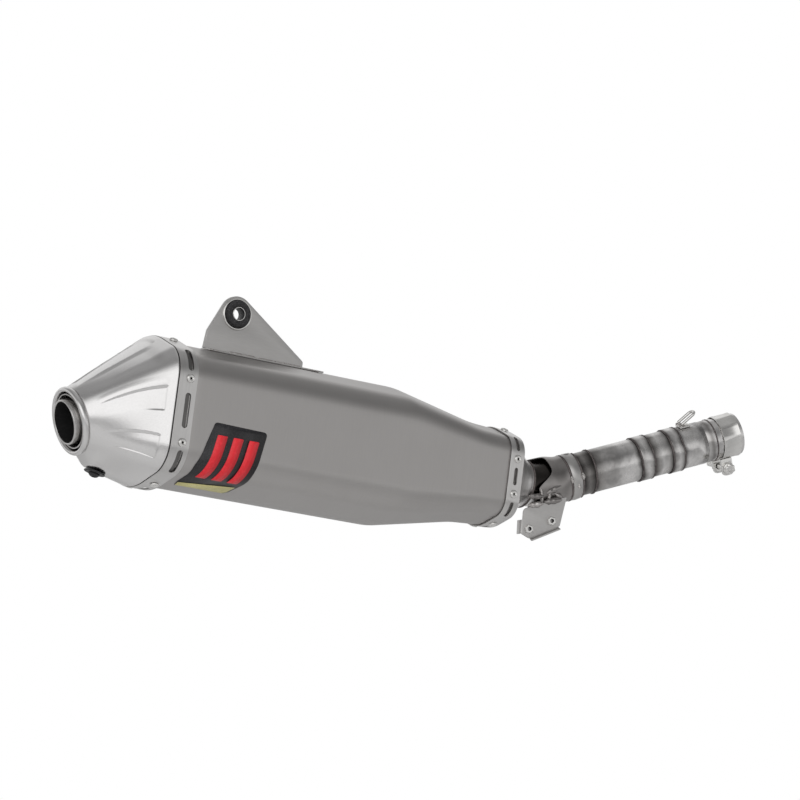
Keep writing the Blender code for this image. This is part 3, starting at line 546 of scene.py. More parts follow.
def bead(name, path, radius, material, ripple=1.6 * MM):
    """A weld bead: a low bar whose ripples follow each other along the path."""
    points = [Vector(p) for p in path]
    lengths = [0.0]
    for a, b in zip(points, points[1:]):
        lengths.append(lengths[-1] + (b - a).length)
    total = lengths[-1]
    steps = max(8, int(total / (ripple / 6)))
    fine = []
    for step in range(steps + 1):
        want = total * step / steps
        i = max(k for k in range(len(lengths)) if lengths[k] <= want + 1e-9)
        i = min(i, len(points) - 2)
        share = (want - lengths[i]) / max(lengths[i + 1] - lengths[i], 1e-9)
        fine.append(points[i].lerp(points[i + 1], share))

    def swell(share):
        phase = (share * total / ripple) % 1.0
        ends = min(1.0, share * total / (2 * radius) + 0.3, (1 - share) * total / (2 * radius) + 0.3)
        return radius * (0.84 + 0.22 * math.sin(math.pi * phase)) * ends

    return sweep(name, fine, swell, material, sides=12)


def piece(obj, body, *nodes, slot=None):
    """Attach a piece to the body it moves with and hide the CAD parts it stands for; slot is not used."""
    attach(obj, body)
    if nodes:
        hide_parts(*nodes)
    return obj


# ---------------------------------------------------------------- the hexagonal section

SLOPE_ANGLE = math.atan2(APEX - SHOULDER, HALF_WIDTH)
SLOPE_NORMAL = math.pi / 2 - SLOPE_ANGLE
SIDE_TURN_BACK = SIDE_RADIUS / math.cos(SLOPE_NORMAL / 2)
CORNER_Y = HALF_WIDTH - SIDE_TURN_BACK * math.cos(SLOPE_NORMAL / 2)
CORNER_Z = SHOULDER - SIDE_TURN_BACK * math.sin(SLOPE_NORMAL / 2)
CROWN_Z = APEX - APEX_RADIUS / math.cos(SLOPE_ANGLE)


def hexagon(inset=0.0, scale=1.0):
    """Points (y, z) of the rounded hexagon, scaled and then moved inwards."""
    half = math.pi
    corners = (
        ((CORNER_Y, CORNER_Z), SIDE_RADIUS, 0.0, SLOPE_NORMAL),
        ((0.0, CROWN_Z), APEX_RADIUS, SLOPE_NORMAL, half - SLOPE_NORMAL),
        ((-CORNER_Y, CORNER_Z), SIDE_RADIUS, half - SLOPE_NORMAL, half),
        ((-CORNER_Y, -CORNER_Z), SIDE_RADIUS, half, half + SLOPE_NORMAL),
        ((0.0, -CROWN_Z), APEX_RADIUS, half + SLOPE_NORMAL, 2 * half - SLOPE_NORMAL),
        ((CORNER_Y, -CORNER_Z), SIDE_RADIUS, 2 * half - SLOPE_NORMAL, 2 * half),
    )
    runs = []
    for (y, z), radius, start, end in corners:
        reach = radius * scale - inset
        runs.append(arc((y * scale, z * scale), reach, math.degrees(start), math.degrees(end), ARC_STEPS))
    points = []
    for number, run in enumerate(runs):
        following = runs[(number + 1) % len(runs)]
        first, second = Vector(run[-1]), Vector(following[0])
        points += run
        points += [tuple(first.lerp(second, step / FLAT_STEPS)) for step in range(1, FLAT_STEPS)]
    return points


def ring_at(x, inset=0.0, scale=1.0):
    return [Vector((x, y, z)) for y, z in hexagon(inset, scale)]


def circle_like(centre, along, upward, radius, like):
    """A circle whose points have the same directions, seen along the axis, as a section's."""
    upward = Vector(upward)
    across = Vector(along).cross(upward).normalized() * -1.0
    ring = []
    for y, z in like:
        angle = math.atan2(z, y)
        ring.append(Vector(centre) + (across * math.cos(angle) + upward * math.sin(angle)) * radius)
    return ring


def smooth(low, high, value):
    share = min(1.0, max(0.0, (value - low) / (high - low)))
    return share * share * (3 - 2 * share)


def taper(x):
    """Scale of the sleeve's section at a station, with a soft crease where the taper starts."""
    slope = (1.0 - TAPER_SCALE) / (TAPER_END - TAPER_START)
    front = (TAPER_SCALE - FRONT_SCALE) / (FRONT_BAND_END - TAPER_END)
    soft_start, soft_end = 7 * MM, 9 * MM

    def bend(distance, reach):
        if distance <= -reach:
            return 0.0
        if distance >= reach:
            return distance
        return (distance + reach) ** 2 / (4 * reach)

    return 1.0 - slope * bend(x - TAPER_START, soft_start) + (slope - front) * bend(x - TAPER_END, soft_end)


def sleeve_ring(x, inset=0.0):
    scale = taper(x)
    return ring_at(x, SLEEVE_INSET * scale + inset, scale)


def facing(x, y, z, normal):
    """A place at (x, y, z) whose local Z points along the section's normal angle."""
    out = Vector((0.0, math.cos(normal), math.sin(normal)))
    return SILENCER @ axes((x, y, z), out, X_AXIS)


def fixing_places(x, scale, inset, side_height):
    """The eight rivet places of a band, in the CAD's order."""
    places = []
    across = RIVET_ACROSS * scale
    side = HALF_WIDTH * scale - inset
    slope_y = across - inset * math.cos(SLOPE_NORMAL)
    slope_z = APEX * scale - across * math.tan(SLOPE_ANGLE) - inset * math.sin(SLOPE_NORMAL)
    for hand in (-1, 1):
        for upper in (1, -1):
            side_normal = 0.0 if hand > 0 else math.pi
            slope_normal = SLOPE_NORMAL if hand > 0 else math.pi - SLOPE_NORMAL
            places.append(facing(x, hand * side, upper * side_height, side_normal))
            places.append(facing(x, hand * slope_y, upper * slope_z, upper * slope_normal))
    return places


def slot_places(x, scale, inset):
    """Middle of the eight slots of a band, between its rivets."""
    middle = SLOPE_NORMAL / 2
    reach = SIDE_RADIUS * scale - inset
    y = CORNER_Y * scale + reach * math.cos(middle)
    z = CORNER_Z * scale + reach * math.sin(middle)
    crown = (CROWN_Z + APEX_RADIUS) * scale - inset
    side = HALF_WIDTH * scale - inset
    places = [facing(x, side, 0, 0.0), facing(x, -side, 0, math.pi)]
    places += [facing(x, 0, crown, math.pi / 2), facing(x, 0, -crown, -math.pi / 2)]
    for upper in (1, -1):
        places.append(facing(x, y, upper * z, upper * middle))
        places.append(facing(x, -y, upper * z, upper * (math.pi - middle)))
    return places


# ---------------------------------------------------------------- silencer


def make_sleeve():
    """Drawn titanium sleeve with a soft crease and an inner wall."""
    stations = [SLEEVE_START, 30 * MM, 90 * MM, 150 * MM, 210 * MM, 250 * MM]
    stations += [TAPER_START + step * MM for step in range(-10, 12, 2)]
    stations += [TAPER_START + 30 * MM, TAPER_START + 60 * MM]
    stations += [TAPER_END + step * MM for step in range(-12, 14, 3)] + [396 * MM, SLEEVE_END]
    obj = grid("sleeve_skin", [sleeve_ring(x) for x in stations], SLEEVE_METAL, place=SILENCER)
    wall(obj, SHEET)
    piece(settle(obj), "silencer", "sleeve", slot="sleeve_titanium")


def make_band(name, rows, slots, lengths, slot_width, places, hole, node):
    """A strap with rolled edges, round-ended slots and holes for its rivets."""
    obj = grid(name, rows, BAND_METAL, place=SILENCER)
    wall(obj, BAND_WALL)
    cutters = []
    for number, (place, length) in enumerate(zip(slots, lengths)):
        half, radius = length / 2, slot_width / 2
        outline = arc((0, half - radius), radius, 0, 180, 8) + arc((0, radius - half), radius, 180, 360, 8)
        cutters.append(outlined(f"{name}_slot_{number}", outline, 16 * MM, place, BAND_METAL, 0.01 * MM))
    for number, place in enumerate(places):
        cutters.append(drill(f"{name}_hole_{number}", hole, place, DRILL_REACH, -DRILL_REACH, BAND_METAL))
    cut(obj, cutters)
    tidy(obj, recalculate=False)
    soften(obj, 0.35 * MM, 2, 50)
    piece(obj, "silencer", node, slot="band_steel")


def hollow(point, radius, top):
    """True for a point inside a bore about local Z, below a height."""
    return math.hypot(point.x, point.y) < radius and point.z < top


def make_rivets(prefix, places):
    """Domed rivets: a flange rolled down on to the band round a hollow stem."""
    bore, stem, tail, seat = 1.25 * MM, 1.85 * MM, -6.4 * MM, 0.35 * MM
    dome = arc((2.6 * MM, 0.55 * MM), 1.65 * MM, 8, 165, 10)
    profile = [(4.25 * MM, seat)] + dome + [(bore, 0.4 * MM), (bore, tail), (stem, tail), (stem, seat)]
    for number, place in enumerate(places, start=1):
        obj = turned(f"{prefix}_head_{number}", profile, place, BRIGHT_METAL, 40)
        back = place.inverted()
        # painted shade: the rivet's hollow stem is painted near-black
        tint_faces(obj, SOOT_AND_SHADE, lambda centre: hollow(back @ centre, 1.35 * MM, 0.5 * MM))
        piece(obj, "silencer", f"{prefix}_{number}", slot="rivet_steel")


def make_bands():
    """Both straps and their rivets."""
    rear_x, front_x = BAND_WIDTH * 0.6, (FRONT_BAND_START + FRONT_BAND_END) / 2
    scale = taper(front_x)
    inset = SLEEVE_INSET * scale - BAND_WALL - GAP
    rear_places = fixing_places(rear_x, 1.0, 0.0, RIVET_HEIGHT)
    front_places = fixing_places(front_x, scale, inset, FRONT_RIVET_HEIGHT)
    rows = [ring_at(GAP, 0.5 * MM), ring_at(GAP + 0.15 * MM, 0.12 * MM), ring_at(GAP + 0.6 * MM)]
    rows += [ring_at(BAND_WIDTH * share) for share in (0.25, 0.5, 0.75)]
    rows += [ring_at(BAND_WIDTH - 0.6 * MM), ring_at(BAND_WIDTH, 0.25 * MM)]
    lengths = [34 * MM] * 2 + [26 * MM] * 6
    slots, hole = slot_places(rear_x, 1.0, 0.0), 2.3 * MM
    make_band("rear_strap", rows, slots, lengths, 6 * MM, rear_places, hole, "rear_band")
    outside = -(BAND_WALL + GAP)
    start, end = FRONT_BAND_START, FRONT_BAND_END
    edges = ((start, 0.25 * MM), (start + 0.5 * MM, 0), (front_x, 0), (end - 0.5 * MM, 0), (end, 0.25 * MM))
    rows = [sleeve_ring(x, outside + rolled) for x, rolled in edges]
    lengths = [18 * MM] * 2 + [16 * MM] * 2 + [18 * MM] * 4
    slots = slot_places(front_x, scale, inset)
    make_band("front_strap", rows, slots, lengths, 4.4 * MM, front_places, hole, "front_band")
    make_rivets("rear_rivet", rear_places)
    make_rivets("front_rivet", front_places)


# ---------------------------------------------------------------- pressed end cap


def window(low, high, edge, value):
    """1 between low and high with soft edges."""
    return smooth(low - edge, low + edge, value) * (1 - smooth(high - edge, high + edge, value))


def pressing(share, tilt):
    """How far the cap stands out, by the share of the way to the lip and the angle above the side."""
    wide = 1 + 1.0 * share
    # panel beside the outlet: sunk below a raised ridge, with a lower edge that fades sooner than the upper
    across = min(1.0, max(0.0, (tilt + 2) / 18))
    fade = (1 - across) * (1 - smooth(0.16, 0.42, share)) + across * (1 - smooth(0.55, 0.92, share))
    out = -1.1 * MM * smooth(0.094, 0.104, share) * window(-2.2, 16.8, 0.45 * wide, tilt) * fade
    ridge = window(18.5, 22.5, 3.0 * wide, tilt) * smooth(0.06, 0.13, share) * (1 - smooth(0.80, 0.92, share))
    out += 0.6 * MM * ridge
    # lower panel, with rounded ends
    low_fade = 1 - smooth(0.45, 0.9, share)
    out -= 1.0 * MM * smooth(0.115, 0.135, share) * window(-39.5, -22.0, 0.6 * wide, tilt) * low_fade
    # broad hollow between the side and the roof, and the roof panel
    hollow_fade = smooth(0.10, 0.24, share) * (1 - smooth(0.6, 0.95, share))
    out -= 1.1 * MM * window(38.0, 66.0, 5.0, tilt) * hollow_fade
    roof_fade = smooth(0.06, 0.09, share) * (1 - smooth(0.86, 0.96, share))
    out -= 1.6 * MM * smooth(68.8, 70.4, tilt) * roof_fade
    return out


def rounded_peak(share, top):
    """A ridge line that climbs to 1 at the top share and falls to 0 at 1, with its crest rounded."""
    soft = 0.07
    rise, fall = share / top, (1 - share) / (1 - top)
    gap = rise - fall
    blend = max(0.0, soft * 4 - abs(gap)) ** 2 / (soft * 16)
    return max(0.0, min(rise, fall) - blend)


def make_end_cap():
    """Pressed and brushed cap with sunk panels, a rolled lip and a hole for the insert's screw."""
    rim = []
    coarse = hexagon()
    between = 3
    for first, second in zip(coarse, coarse[1:] + coarse[:1]):
        rim += [tuple(Vector(first).lerp(Vector(second), k / between)) for k in range(between)]
    lip = Vector((LIP_X, 0, LIP_Z))
    out, up = OUTLET_OUT, Vector(OUTLET.col[0].to_3d())

    def lip_ring(radius, height):
        return circle_like(lip + out * height, -out, up, radius, rim)

    def rim_ring(x, inset):
        middle = [Vector(p) for p in rim]
        ring = []
        for i, p in enumerate(middle):
            ahead = middle[(i + 1) % len(middle)] - middle[i - 1]
            normal = Vector((ahead.y, -ahead.x)).normalized()
            ring.append(Vector((x, *(p - normal * inset))))
        return ring

    roll = ((LIP_BORE, -7.0), (LIP_BORE, -2.0), (LIP_BORE + 0.4 * MM, -0.3), (29.9 * MM, 0.7),
            (31.3 * MM, 0.9), (32.6 * MM, 0.3), (33.4 * MM, -1.0), (33.6 * MM, -2.8), (33.2 * MM, -4.3),
            (32.0 * MM, -5.2), (31.0 * MM, -5.6))
    rows = [lip_ring(radius, height * MM) for radius, height in roll]
    inner = lip_ring(32.6 * MM, -5.7 * MM)
    outer = rim_ring(-1.6 * MM, 0.9 * MM)
    steps = 64
    for step in range(steps + 1):
        share = 1 - step / steps
        row = []
        for near, far in zip(outer, inner):
            base = near.lerp(far, share)
            centre = lip.lerp(Vector(), 1 - share)
            away = base - centre
            tilt = math.degrees(math.atan2(base.z - centre.z * share, abs(base.y)))
            normal = (away.normalized() + Vector((-0.55, 0, 0))).normalized()
            lift = pressing(share, tilt) + 0.5 * MM * math.sin(math.pi * share)
            swell = BELLY_DEPTH * rounded_peak(share, BELLY_SHARE) * smooth(BELLY_SIDE, BELLY_LOW, -tilt)
            row.append(base + normal * lift + BELLY_OUT * swell)
        rows.append(row)
    rows += [rim_ring(-0.9 * MM, 0.62 * MM), rim_ring(-0.3 * MM, 0.75 * MM), rim_ring(0.0, 1.2 * MM)]
    rows += [rim_ring(0.4 * MM, 1.8 * MM), rim_ring(14 * MM, 1.8 * MM)]
    obj = grid("end_cap_shell", rows, CAP_METAL, place=SILENCER)
    # painted shade: the cap's skirt under the rear band and its first millimetre of rim are painted dark, a
    # painted shadow line at the gap and shade in the slots
    shade_line_start = (SILENCER @ Vector((-1.1 * MM, 0, 0))).x
    tint_faces(obj, SHADED_METAL, lambda centre: centre.x > shade_line_start)
    wall(obj, SHEET)
    settle(obj)
    obj.data.set_sharp_from_angle(angle=math.radians(60))
    reach = 12 * MM
    cut(obj, [drill("screw_hole", SCREW_HOLE, SCREW, reach, -reach, CAP_METAL)])
    piece(obj, "silencer", "end_cap", slot="cap_brushed")


def make_inlet_cap():
    """Domed cap from the sleeve's front end down to a collar on the pipe."""
    like = hexagon()
    skirt = SHEET + GAP
    collar = PIPE_RADIUS + GAP + SHEET
    rim = sleeve_ring(FRONT_BAND_END + 0.4 * MM, 0.3 * MM)
    rows = [sleeve_ring(FRONT_BAND_START + 4 * MM, skirt), sleeve_ring(SLEEVE_END + GAP, skirt)]
    rows += [sleeve_ring(FRONT_BAND_END - 0.8 * MM, 0.9 * MM), rim]
    # a soft shoulder, then a cone that turns into the collar
    profile = ((0.10, 417.6), (0.25, 420.0), (0.45, 424.5), (0.65, 430.0), (0.82, 435.6), (0.92, 439.6))
    for share, x in profile:
        ring = circle_like((x * MM, 0, 0), X_AXIS, Z_AXIS, collar + 1.5 * MM, like)
        rows.append([Vector((x * MM, *a.lerp(b, share).yz)) for a, b in zip(rim, ring)])
    for x, radius in ((442.0, 2.3), (444.0, 1.0), (445.5, 0.3), (448.0, 0.0)):
        rows.append(circle_like((x * MM, 0, 0), X_AXIS, Z_AXIS, collar + radius * MM, like))
    obj = grid("inlet_cap_shell", rows, INLET_METAL, place=SILENCER)
    wall(obj, SHEET)
    piece(settle(obj), "silencer", "inlet_cap", slot="inlet_cap_metal")
    path = [(INLET_CAP_END - 0.6 * MM, (collar + 0.2 * MM) * math.cos(a), (collar + 0.2 * MM) * math.sin(a))
            for a in [math.radians(3 * k) for k in range(121)]]
    ring = bead("inlet_collar_weld", [SILENCER @ Vector(p) for p in path], 1.0 * MM, SCORCHED_WELD)
    piece(ring, "silencer", slot="tube_steel")


# ---------------------------------------------------------------- badge

SIDE_REACH = SIDE_RADIUS - SLEEVE_INSET


def belly_point(x, length, lift):
    """A point on the sleeve's near side, by the length down the section from mid height."""
    side_y = -(HALF_WIDTH - SLEEVE_INSET)
    turn = SLOPE_NORMAL * SIDE_REACH
    flat = CORNER_Z
    if length <= flat:
        return Vector((x, side_y - lift, -length))
    angle = math.pi + min((length - flat) / SIDE_REACH, SLOPE_NORMAL)
    normal = Vector((0, math.cos(angle), math.sin(angle)))
    point = Vector((x, -CORNER_Y, -CORNER_Z)) + normal * (SIDE_REACH + lift)
    beyond = length - flat - turn
    if beyond > 0:
        point += Vector((0, -normal.z, normal.y)) * beyond
    return point


def decal(name, outline, lift, thick, material, *nodes):
    """A thin sheet cut to an outline of (x, length) in millimetres and laid on the sleeve's side."""
    shape = bmesh.new()
    shape.faces.new([shape.verts.new((x * MM, length * MM, 0)) for x, length in outline])
    for length in range(2, 96, 2):
        parts = shape.verts[:] + shape.edges[:] + shape.faces[:]
        bmesh.ops.bisect_plane(shape, geom=parts, plane_co=(0, length * MM, 0), plane_no=(0, 1, 0))
    for vert in shape.verts:
        vert.co = SILENCER @ belly_point(vert.co.x, vert.co.y, lift)
    for face in shape.faces:
        if face.calc_center_median().y < 0 and face.normal.y > 0:
            face.normal_flip()
    mesh = bpy.data.meshes.new(name)
    shape.to_mesh(mesh)
    shape.free()
    obj = link(name, mesh, material)
    wall(obj, thick, 1.0)
    piece(settle(obj), "silencer", *nodes, slot="badge_film")


def make_badge():
    """Black badge wrapped on to the belly, with plain red bars and a pale strip along its foot."""
    corners = ((47, 5.3), (105, 6.5), (98.5, 43), (91.5, 88), (88, 93), (34, 93), (32.5, 84), (33.5, 50),
               (40, 27))
    radii = (4, 4, 0, 2, 2, 1.5, 2, 8, 8)
    decal("badge_plate", rounded(corners, radii), 0.35 * MM, 0.45 * MM, BADGE_BLACK, "name_badge")
    for number, start in enumerate((0, 17.5, 35)):
        bar = ((51 + start, 17), (62 + start, 17), (52.5 + start, 66), (41.5 + start, 66))
        decal(f"badge_bar_{number + 1}", rounded(bar, (1.2, 1.2, 1.2, 1.2)), 0.85 * MM, 0.15 * MM, BADGE_RED)
    strip = ((33.4, 84.5), (91, 74), (89, 88), (86, 92), (34.5, 92))
    decal("badge_strip", rounded(strip, (1, 1, 1, 1, 1)), 0.85 * MM, 0.12 * MM, BADGE_YELLOW)


# ---------------------------------------------------------------- outlet


def make_outlet():
    """Fixed outlet tube, the insert with its rolled end, and the screw with its washer."""
    inner_end = -56 * MM
    outer, bore = 27 * MM, 25.4 * MM
    profile = [(outer, -1.6 * MM), (outer, -8 * MM), (outer, -30 * MM), (outer, inner_end), (bore, inner_end)]
    profile += [(bore, -1.8 * MM), (bore + 0.3 * MM, -1.1 * MM), (outer - 0.3 * MM, -1.0 * MM)]
    tube = turned("outlet_pipe", profile, OUTLET, TUBE_METAL)
    cut(tube, [drill("outlet_hole", SCREW_HOLE, SCREW, 0, -38 * MM, TUBE_METAL)])
    piece(tube, "silencer", "outlet_tube", slot="tube_steel")

    radius, bore, flange = 22 * MM, 20 * MM, 24.6 * MM
    end = arc((21 * MM, 4 * MM), 1 * MM, 180, 0, 10)
    profile = [(radius, -40 * MM), (radius, inner_end + 9 * MM), (flange, inner_end + 6 * MM)]
    profile += [(flange, inner_end + 1 * MM), (bore, inner_end + 1 * MM)] + end
    insert = turned("insert_tube", profile, OUTLET, TUBE_METAL)
    back = OUTLET.inverted()
    tint_faces(insert, SOOT_AND_SHADE, lambda centre: hollow(back @ centre, 20.4 * MM, 3 * MM))
    piece(insert, "outlet_insert", "outlet_insert", slot="tube_steel")

    low, thick = 0.5 * MM, 1.4 * MM
    edge = 0.3 * MM
    high = low + thick
    profile = ((10.5 * MM, high - edge), (10.5 * MM, low + edge), (10.5 * MM - edge, low), (SCREW_HOLE, low),
               (SCREW_HOLE, high), (10.5 * MM - edge, high))
    piece(turned("screw_washer", profile, SCREW, BLACK_OXIDE_AND_SHADE), "insert_washer", "insert_washer", slot="black_oxide")
    base = high + GAP
    head = base + 4 * MM
    dome = arc((0, base - 2.6 * MM), 6.6 * MM, 32, 62, 8)
    tip = -SCREW_SHANK
    profile = [(0, tip), (2.2 * MM, tip), (3 * MM, tip + 1 * MM), (3 * MM, base), (5.5 * MM, base)] + dome
    profile += [(2.6 * MM, head - 0.6 * MM), (1.9 * MM, head - 0.8 * MM), (1.9 * MM, head - 2.6 * MM),
                (0, head - 2.6 * MM)]
    screw = turned("button_screw", profile, SCREW, BLACK_OXIDE_AND_SHADE, 48, loop=False)
    piece(screw, "insert_screw", "insert_screw", slot="black_oxide")


# ---------------------------------------------------------------- hanger


def make_hanger():
    """Base strip, ear plate with a bright eye, weld beads, speckled grommet and steel bush."""
    left, right, base_right = 58 * MM, 170.7 * MM, 188 * MM
    base_wall, half = 1.6 * MM, 15 * MM
    radius = APEX_RADIUS - SLEEVE_INSET + GAP
    reach = math.degrees(math.asin(half / radius))
    roof = arc((0, CROWN_Z), radius, 90 - reach, 90 + reach, 16)
    rows = [[Vector((x, y, z)) for y, z in roof] for x in (left, 90 * MM, 130 * MM, base_right)]
    base = grid("hanger_strip", rows, PLATE_METAL, around=False, place=SILENCER)
    wall(base, base_wall, 1.0)
    settle(base)
    soften(base, 0.4 * MM)
    piece(base, "silencer", "hanger_base", slot="bracket_satin")

    hanger_x, hanger_z = -SILENCER.translation.x, -SILENCER.translation.z
    foot = CROWN_Z + radius + base_wall + GAP - hanger_z
    ear, bore = 17.6 * MM, 12 * MM
    corners = [(foot, -(left - hanger_x)), (-21 * MM, 30 * MM)]
    crown = [(u, v) for u, v in arc((0, 0), ear, 64.6, -34.5, 28)]
    tail = right - hanger_x
    corners += crown + [(-33.5 * MM, -tail), (foot, -tail)]
    radii = [0, 5 * MM] + [0] * len(crown) + [3 * MM, 0]
    hole = arc((0, 0), bore, 0, 360, 64)[:-1]
    outline = rounded(corners, radii)
    ear_plate = outlined("hanger_ear", outline, 4 * MM, HANGER, PLATE_METAL, 0.45 * MM, [hole])
    piece(ear_plate, "silencer", "hanger_bracket", slot="bracket_satin")

    rim = arc((13.2 * MM, 2.25 * MM), 1.35 * MM, -20, 200, 12)
    profile = [(12.0 * MM, 2.2 * MM), *reversed(rim), (14.4 * MM, 1.6 * MM), (12.05 * MM, 1.6 * MM)]
    for hand, turn in (("near", 0), ("far", 180)):
        place = HANGER @ Matrix.Rotation(math.radians(turn), 4, "X")
        ring = turned(f"hanger_eye_{hand}", [(r + 1.6 * MM, z) for r, z in profile], place, BRIGHT_METAL, 96)
        piece(ring, "silencer", slot="bracket_satin")

    flange, thick, eye = 13.6 * MM, 7 * MM, 7.3 * MM
    bulge = arc((flange - 2.2 * MM, thick - 2.2 * MM), 2.2 * MM, 90, 0, 8)
    upper = [(eye + 0.8 * MM, thick - 0.2 * MM)] + bulge + [(flange, 2.3 * MM), (11.7 * MM, 2.3 * MM)]
    lower = [(r, -z) for r, z in reversed(upper)]
    profile = upper + lower + [(eye, -thick + 0.9 * MM), (eye, thick - 0.9 * MM)]
    grommet = turned("grommet_spool", profile, HANGER, RUBBER, 96)
    piece(grommet, "silencer", "hanger_grommet", slot="grommet_rubber")

    outer, inner, end = 7 * MM, 6 * MM, 6.5 * MM
    profile = [(outer, end - 0.3 * MM), (outer, 0.3 * MM - end), (outer - 0.3 * MM, -end),
               (inner + 0.2 * MM, -end)]
    profile += [(inner, 0.3 * MM - end), (inner, end - 0.3 * MM), (inner + 0.2 * MM, end),
                (outer - 0.3 * MM, end)]
    bush = turned("bush_sleeve", profile, HANGER, BRIGHT_METAL)
    # painted shade: the bush's bore is painted black
    tint_faces(bush, BLACK_OXIDE_AND_SHADE, lambda centre: math.hypot(centre.x, centre.z) < 6.1 * MM)
    piece(bush, "silencer", "hanger_bush", slot="bush_steel")

    # fillet welds along the ear's foot, in stitches
    weld_height = CROWN_Z + radius + base_wall + 0.5 * MM
    for hand, side in (("near", -1), ("far", 1)):
        for number, (start, end) in enumerate(((86, 116), (120, 168)), start=1):
            wide = 1.15 * MM if number == 1 else 0.8 * MM
            path = [SILENCER @ Vector((x * MM, side * 2.5 * MM, weld_height)) for x in (start, end)]
            weld = bead(f"hanger_weld_{hand}_{number}", path, wide, WELD_METAL)
            piece(weld, "silencer", slot="bracket_satin")
        for number, x in enumerate((62, 178), start=1):
            path = []
            for y, reach in ((15.3 * MM, -5 * MM), (15.2 * MM, 5 * MM)):
                height = CROWN_Z + math.sqrt(radius ** 2 - y ** 2) + base_wall / 2
                path.append(SILENCER @ Vector((x * MM, side * y, height)) + X_AXIS * reach)
            weld = bead(f"strip_weld_{hand}_{number}", path, 0.9 * MM, WELD_METAL)
            piece(weld, "silencer", slot="bracket_satin")


# ---------------------------------------------------------------- link pipe


def pipe_path():
    """Middle line of the pipe: straight out of the silencer, a bend, and straight to its end."""
    direction = PIPE_OUT
    bend = math.acos(direction.x)
    tangent = BEND_RADIUS * math.tan(bend / 2)
    aside = Vector((0, direction.y, direction.z)).normalized()
    centre = Vector((BEND_X - tangent, 0, 0)) + aside * BEND_RADIUS
    path = [Vector((418 * MM, 0, 0))]
    steps = 16
    for step in range(steps + 1):
        turn = bend * step / steps
        path.append(centre + (Vector((math.sin(turn), 0, 0)) - aside * math.cos(turn)) * BEND_RADIUS)
    path += [Vector((BEND_X, 0, 0)) + direction * length * MM for length in (30, 60, 90, 120, 150, 180)]
    path.append(Vector((BEND_X, 0, 0)) + direction * PIPE_END)
    return [SILENCER @ point for point in path]


def pipe_weld(name, height, radius, size, material, start=0, end=360, lean=0.0):
    """A weld bead round the pipe, or part of the way; lean slants its ring."""
    path = []
    degrees_a_step = 4
    steps = max(12, int((end - start) / degrees_a_step))
    for k in range(steps + 1):
        a = math.radians(start + (end - start) * k / steps)
        path.append(PIPE @ Vector((radius * math.cos(a), radius * math.sin(a), height + lean * math.cos(a))))
    piece(bead(name, path, size, material), "silencer", slot="pipe_heat_tinted")


def make_pipe():
    """The tinted pipe, its raised rings, its socket and the weld at each joint."""
    tube = sweep("pipe_tube", pipe_path(), PIPE_RADIUS, HEAT_TINT_AND_SHADE_METAL, 72, capped=False, normal=Z_AXIS)
    wall(tube, 1.5 * MM)
    piece(settle(tube), "silencer", "link_pipe", slot="pipe_heat_tinted")
    inner = PIPE_RADIUS + GAP
    outer = inner + RING_WALL
    for number, (low, high) in enumerate(RING_SPANS, start=1):
        edge = 1.6 * MM
        middle = (low + high) / 2
        profile = [(inner + 0.2 * MM, high), (outer - 0.3 * MM, high - 0.5 * MM),
                   (outer - 0.1 * MM, high - edge)]
        profile += [(outer, middle + 3 * MM), (outer, middle - 3 * MM), (outer - 0.1 * MM, low + edge)]
        profile += [(outer - 0.3 * MM, low + 0.5 * MM), (inner + 0.2 * MM, low), (inner, low), (inner, high)]
        ring = turned(f"ring_sleeve_{number}", profile, PIPE, HEAT_TINT_AND_SHADE_METAL)
        piece(ring, "silencer", f"pipe_ring_{number}", slot="pipe_heat_tinted")
        for side, height in (("low", low), ("high", high)):
            pipe_weld(f"ring_weld_{number}_{side}", height, inner, 1.0 * MM, SCORCHED_WELD)
    pipe_weld("bend_weld", 63 * MM, PIPE_RADIUS, 1.1 * MM, SCORCHED_WELD, lean=1.5 * MM)
    pipe_weld("socket_weld", 204 * MM, 21.9 * MM, 0.9 * MM, SCORCHED_WELD)

    radius, bore = 22 * MM, 20.6 * MM
    low = PIPE_END + GAP
    profile = [(radius, SOCKET_END - 0.4 * MM), (radius, 222 * MM), (radius, 206 * MM),
               (radius, low + 0.4 * MM)]
    profile += [(radius - 0.3 * MM, low), (bore, low), (bore, SOCKET_END - 0.3 * MM)]
    profile += [(bore + 0.3 * MM, SOCKET_END), (radius - 0.4 * MM, SOCKET_END)]
    socket = turned("socket_tube", profile, PIPE, HEAT_TINT_AND_SHADE_METAL, 96)
    wide, deep = 1.25 * MM, 15 * MM
    slit = [(-30 * MM, -wide), (30 * MM, -wide), (30 * MM, wide), (-30 * MM, wide)]
    place = PIPE @ Matrix.Translation((0, 0, SOCKET_END))
    cut(socket, [outlined("socket_slit", slit, 2 * deep, place, HEAT_TINT_AND_SHADE_METAL, 0.01 * MM)])
    piece(socket, "silencer", "inlet_socket", slot="tube_steel")


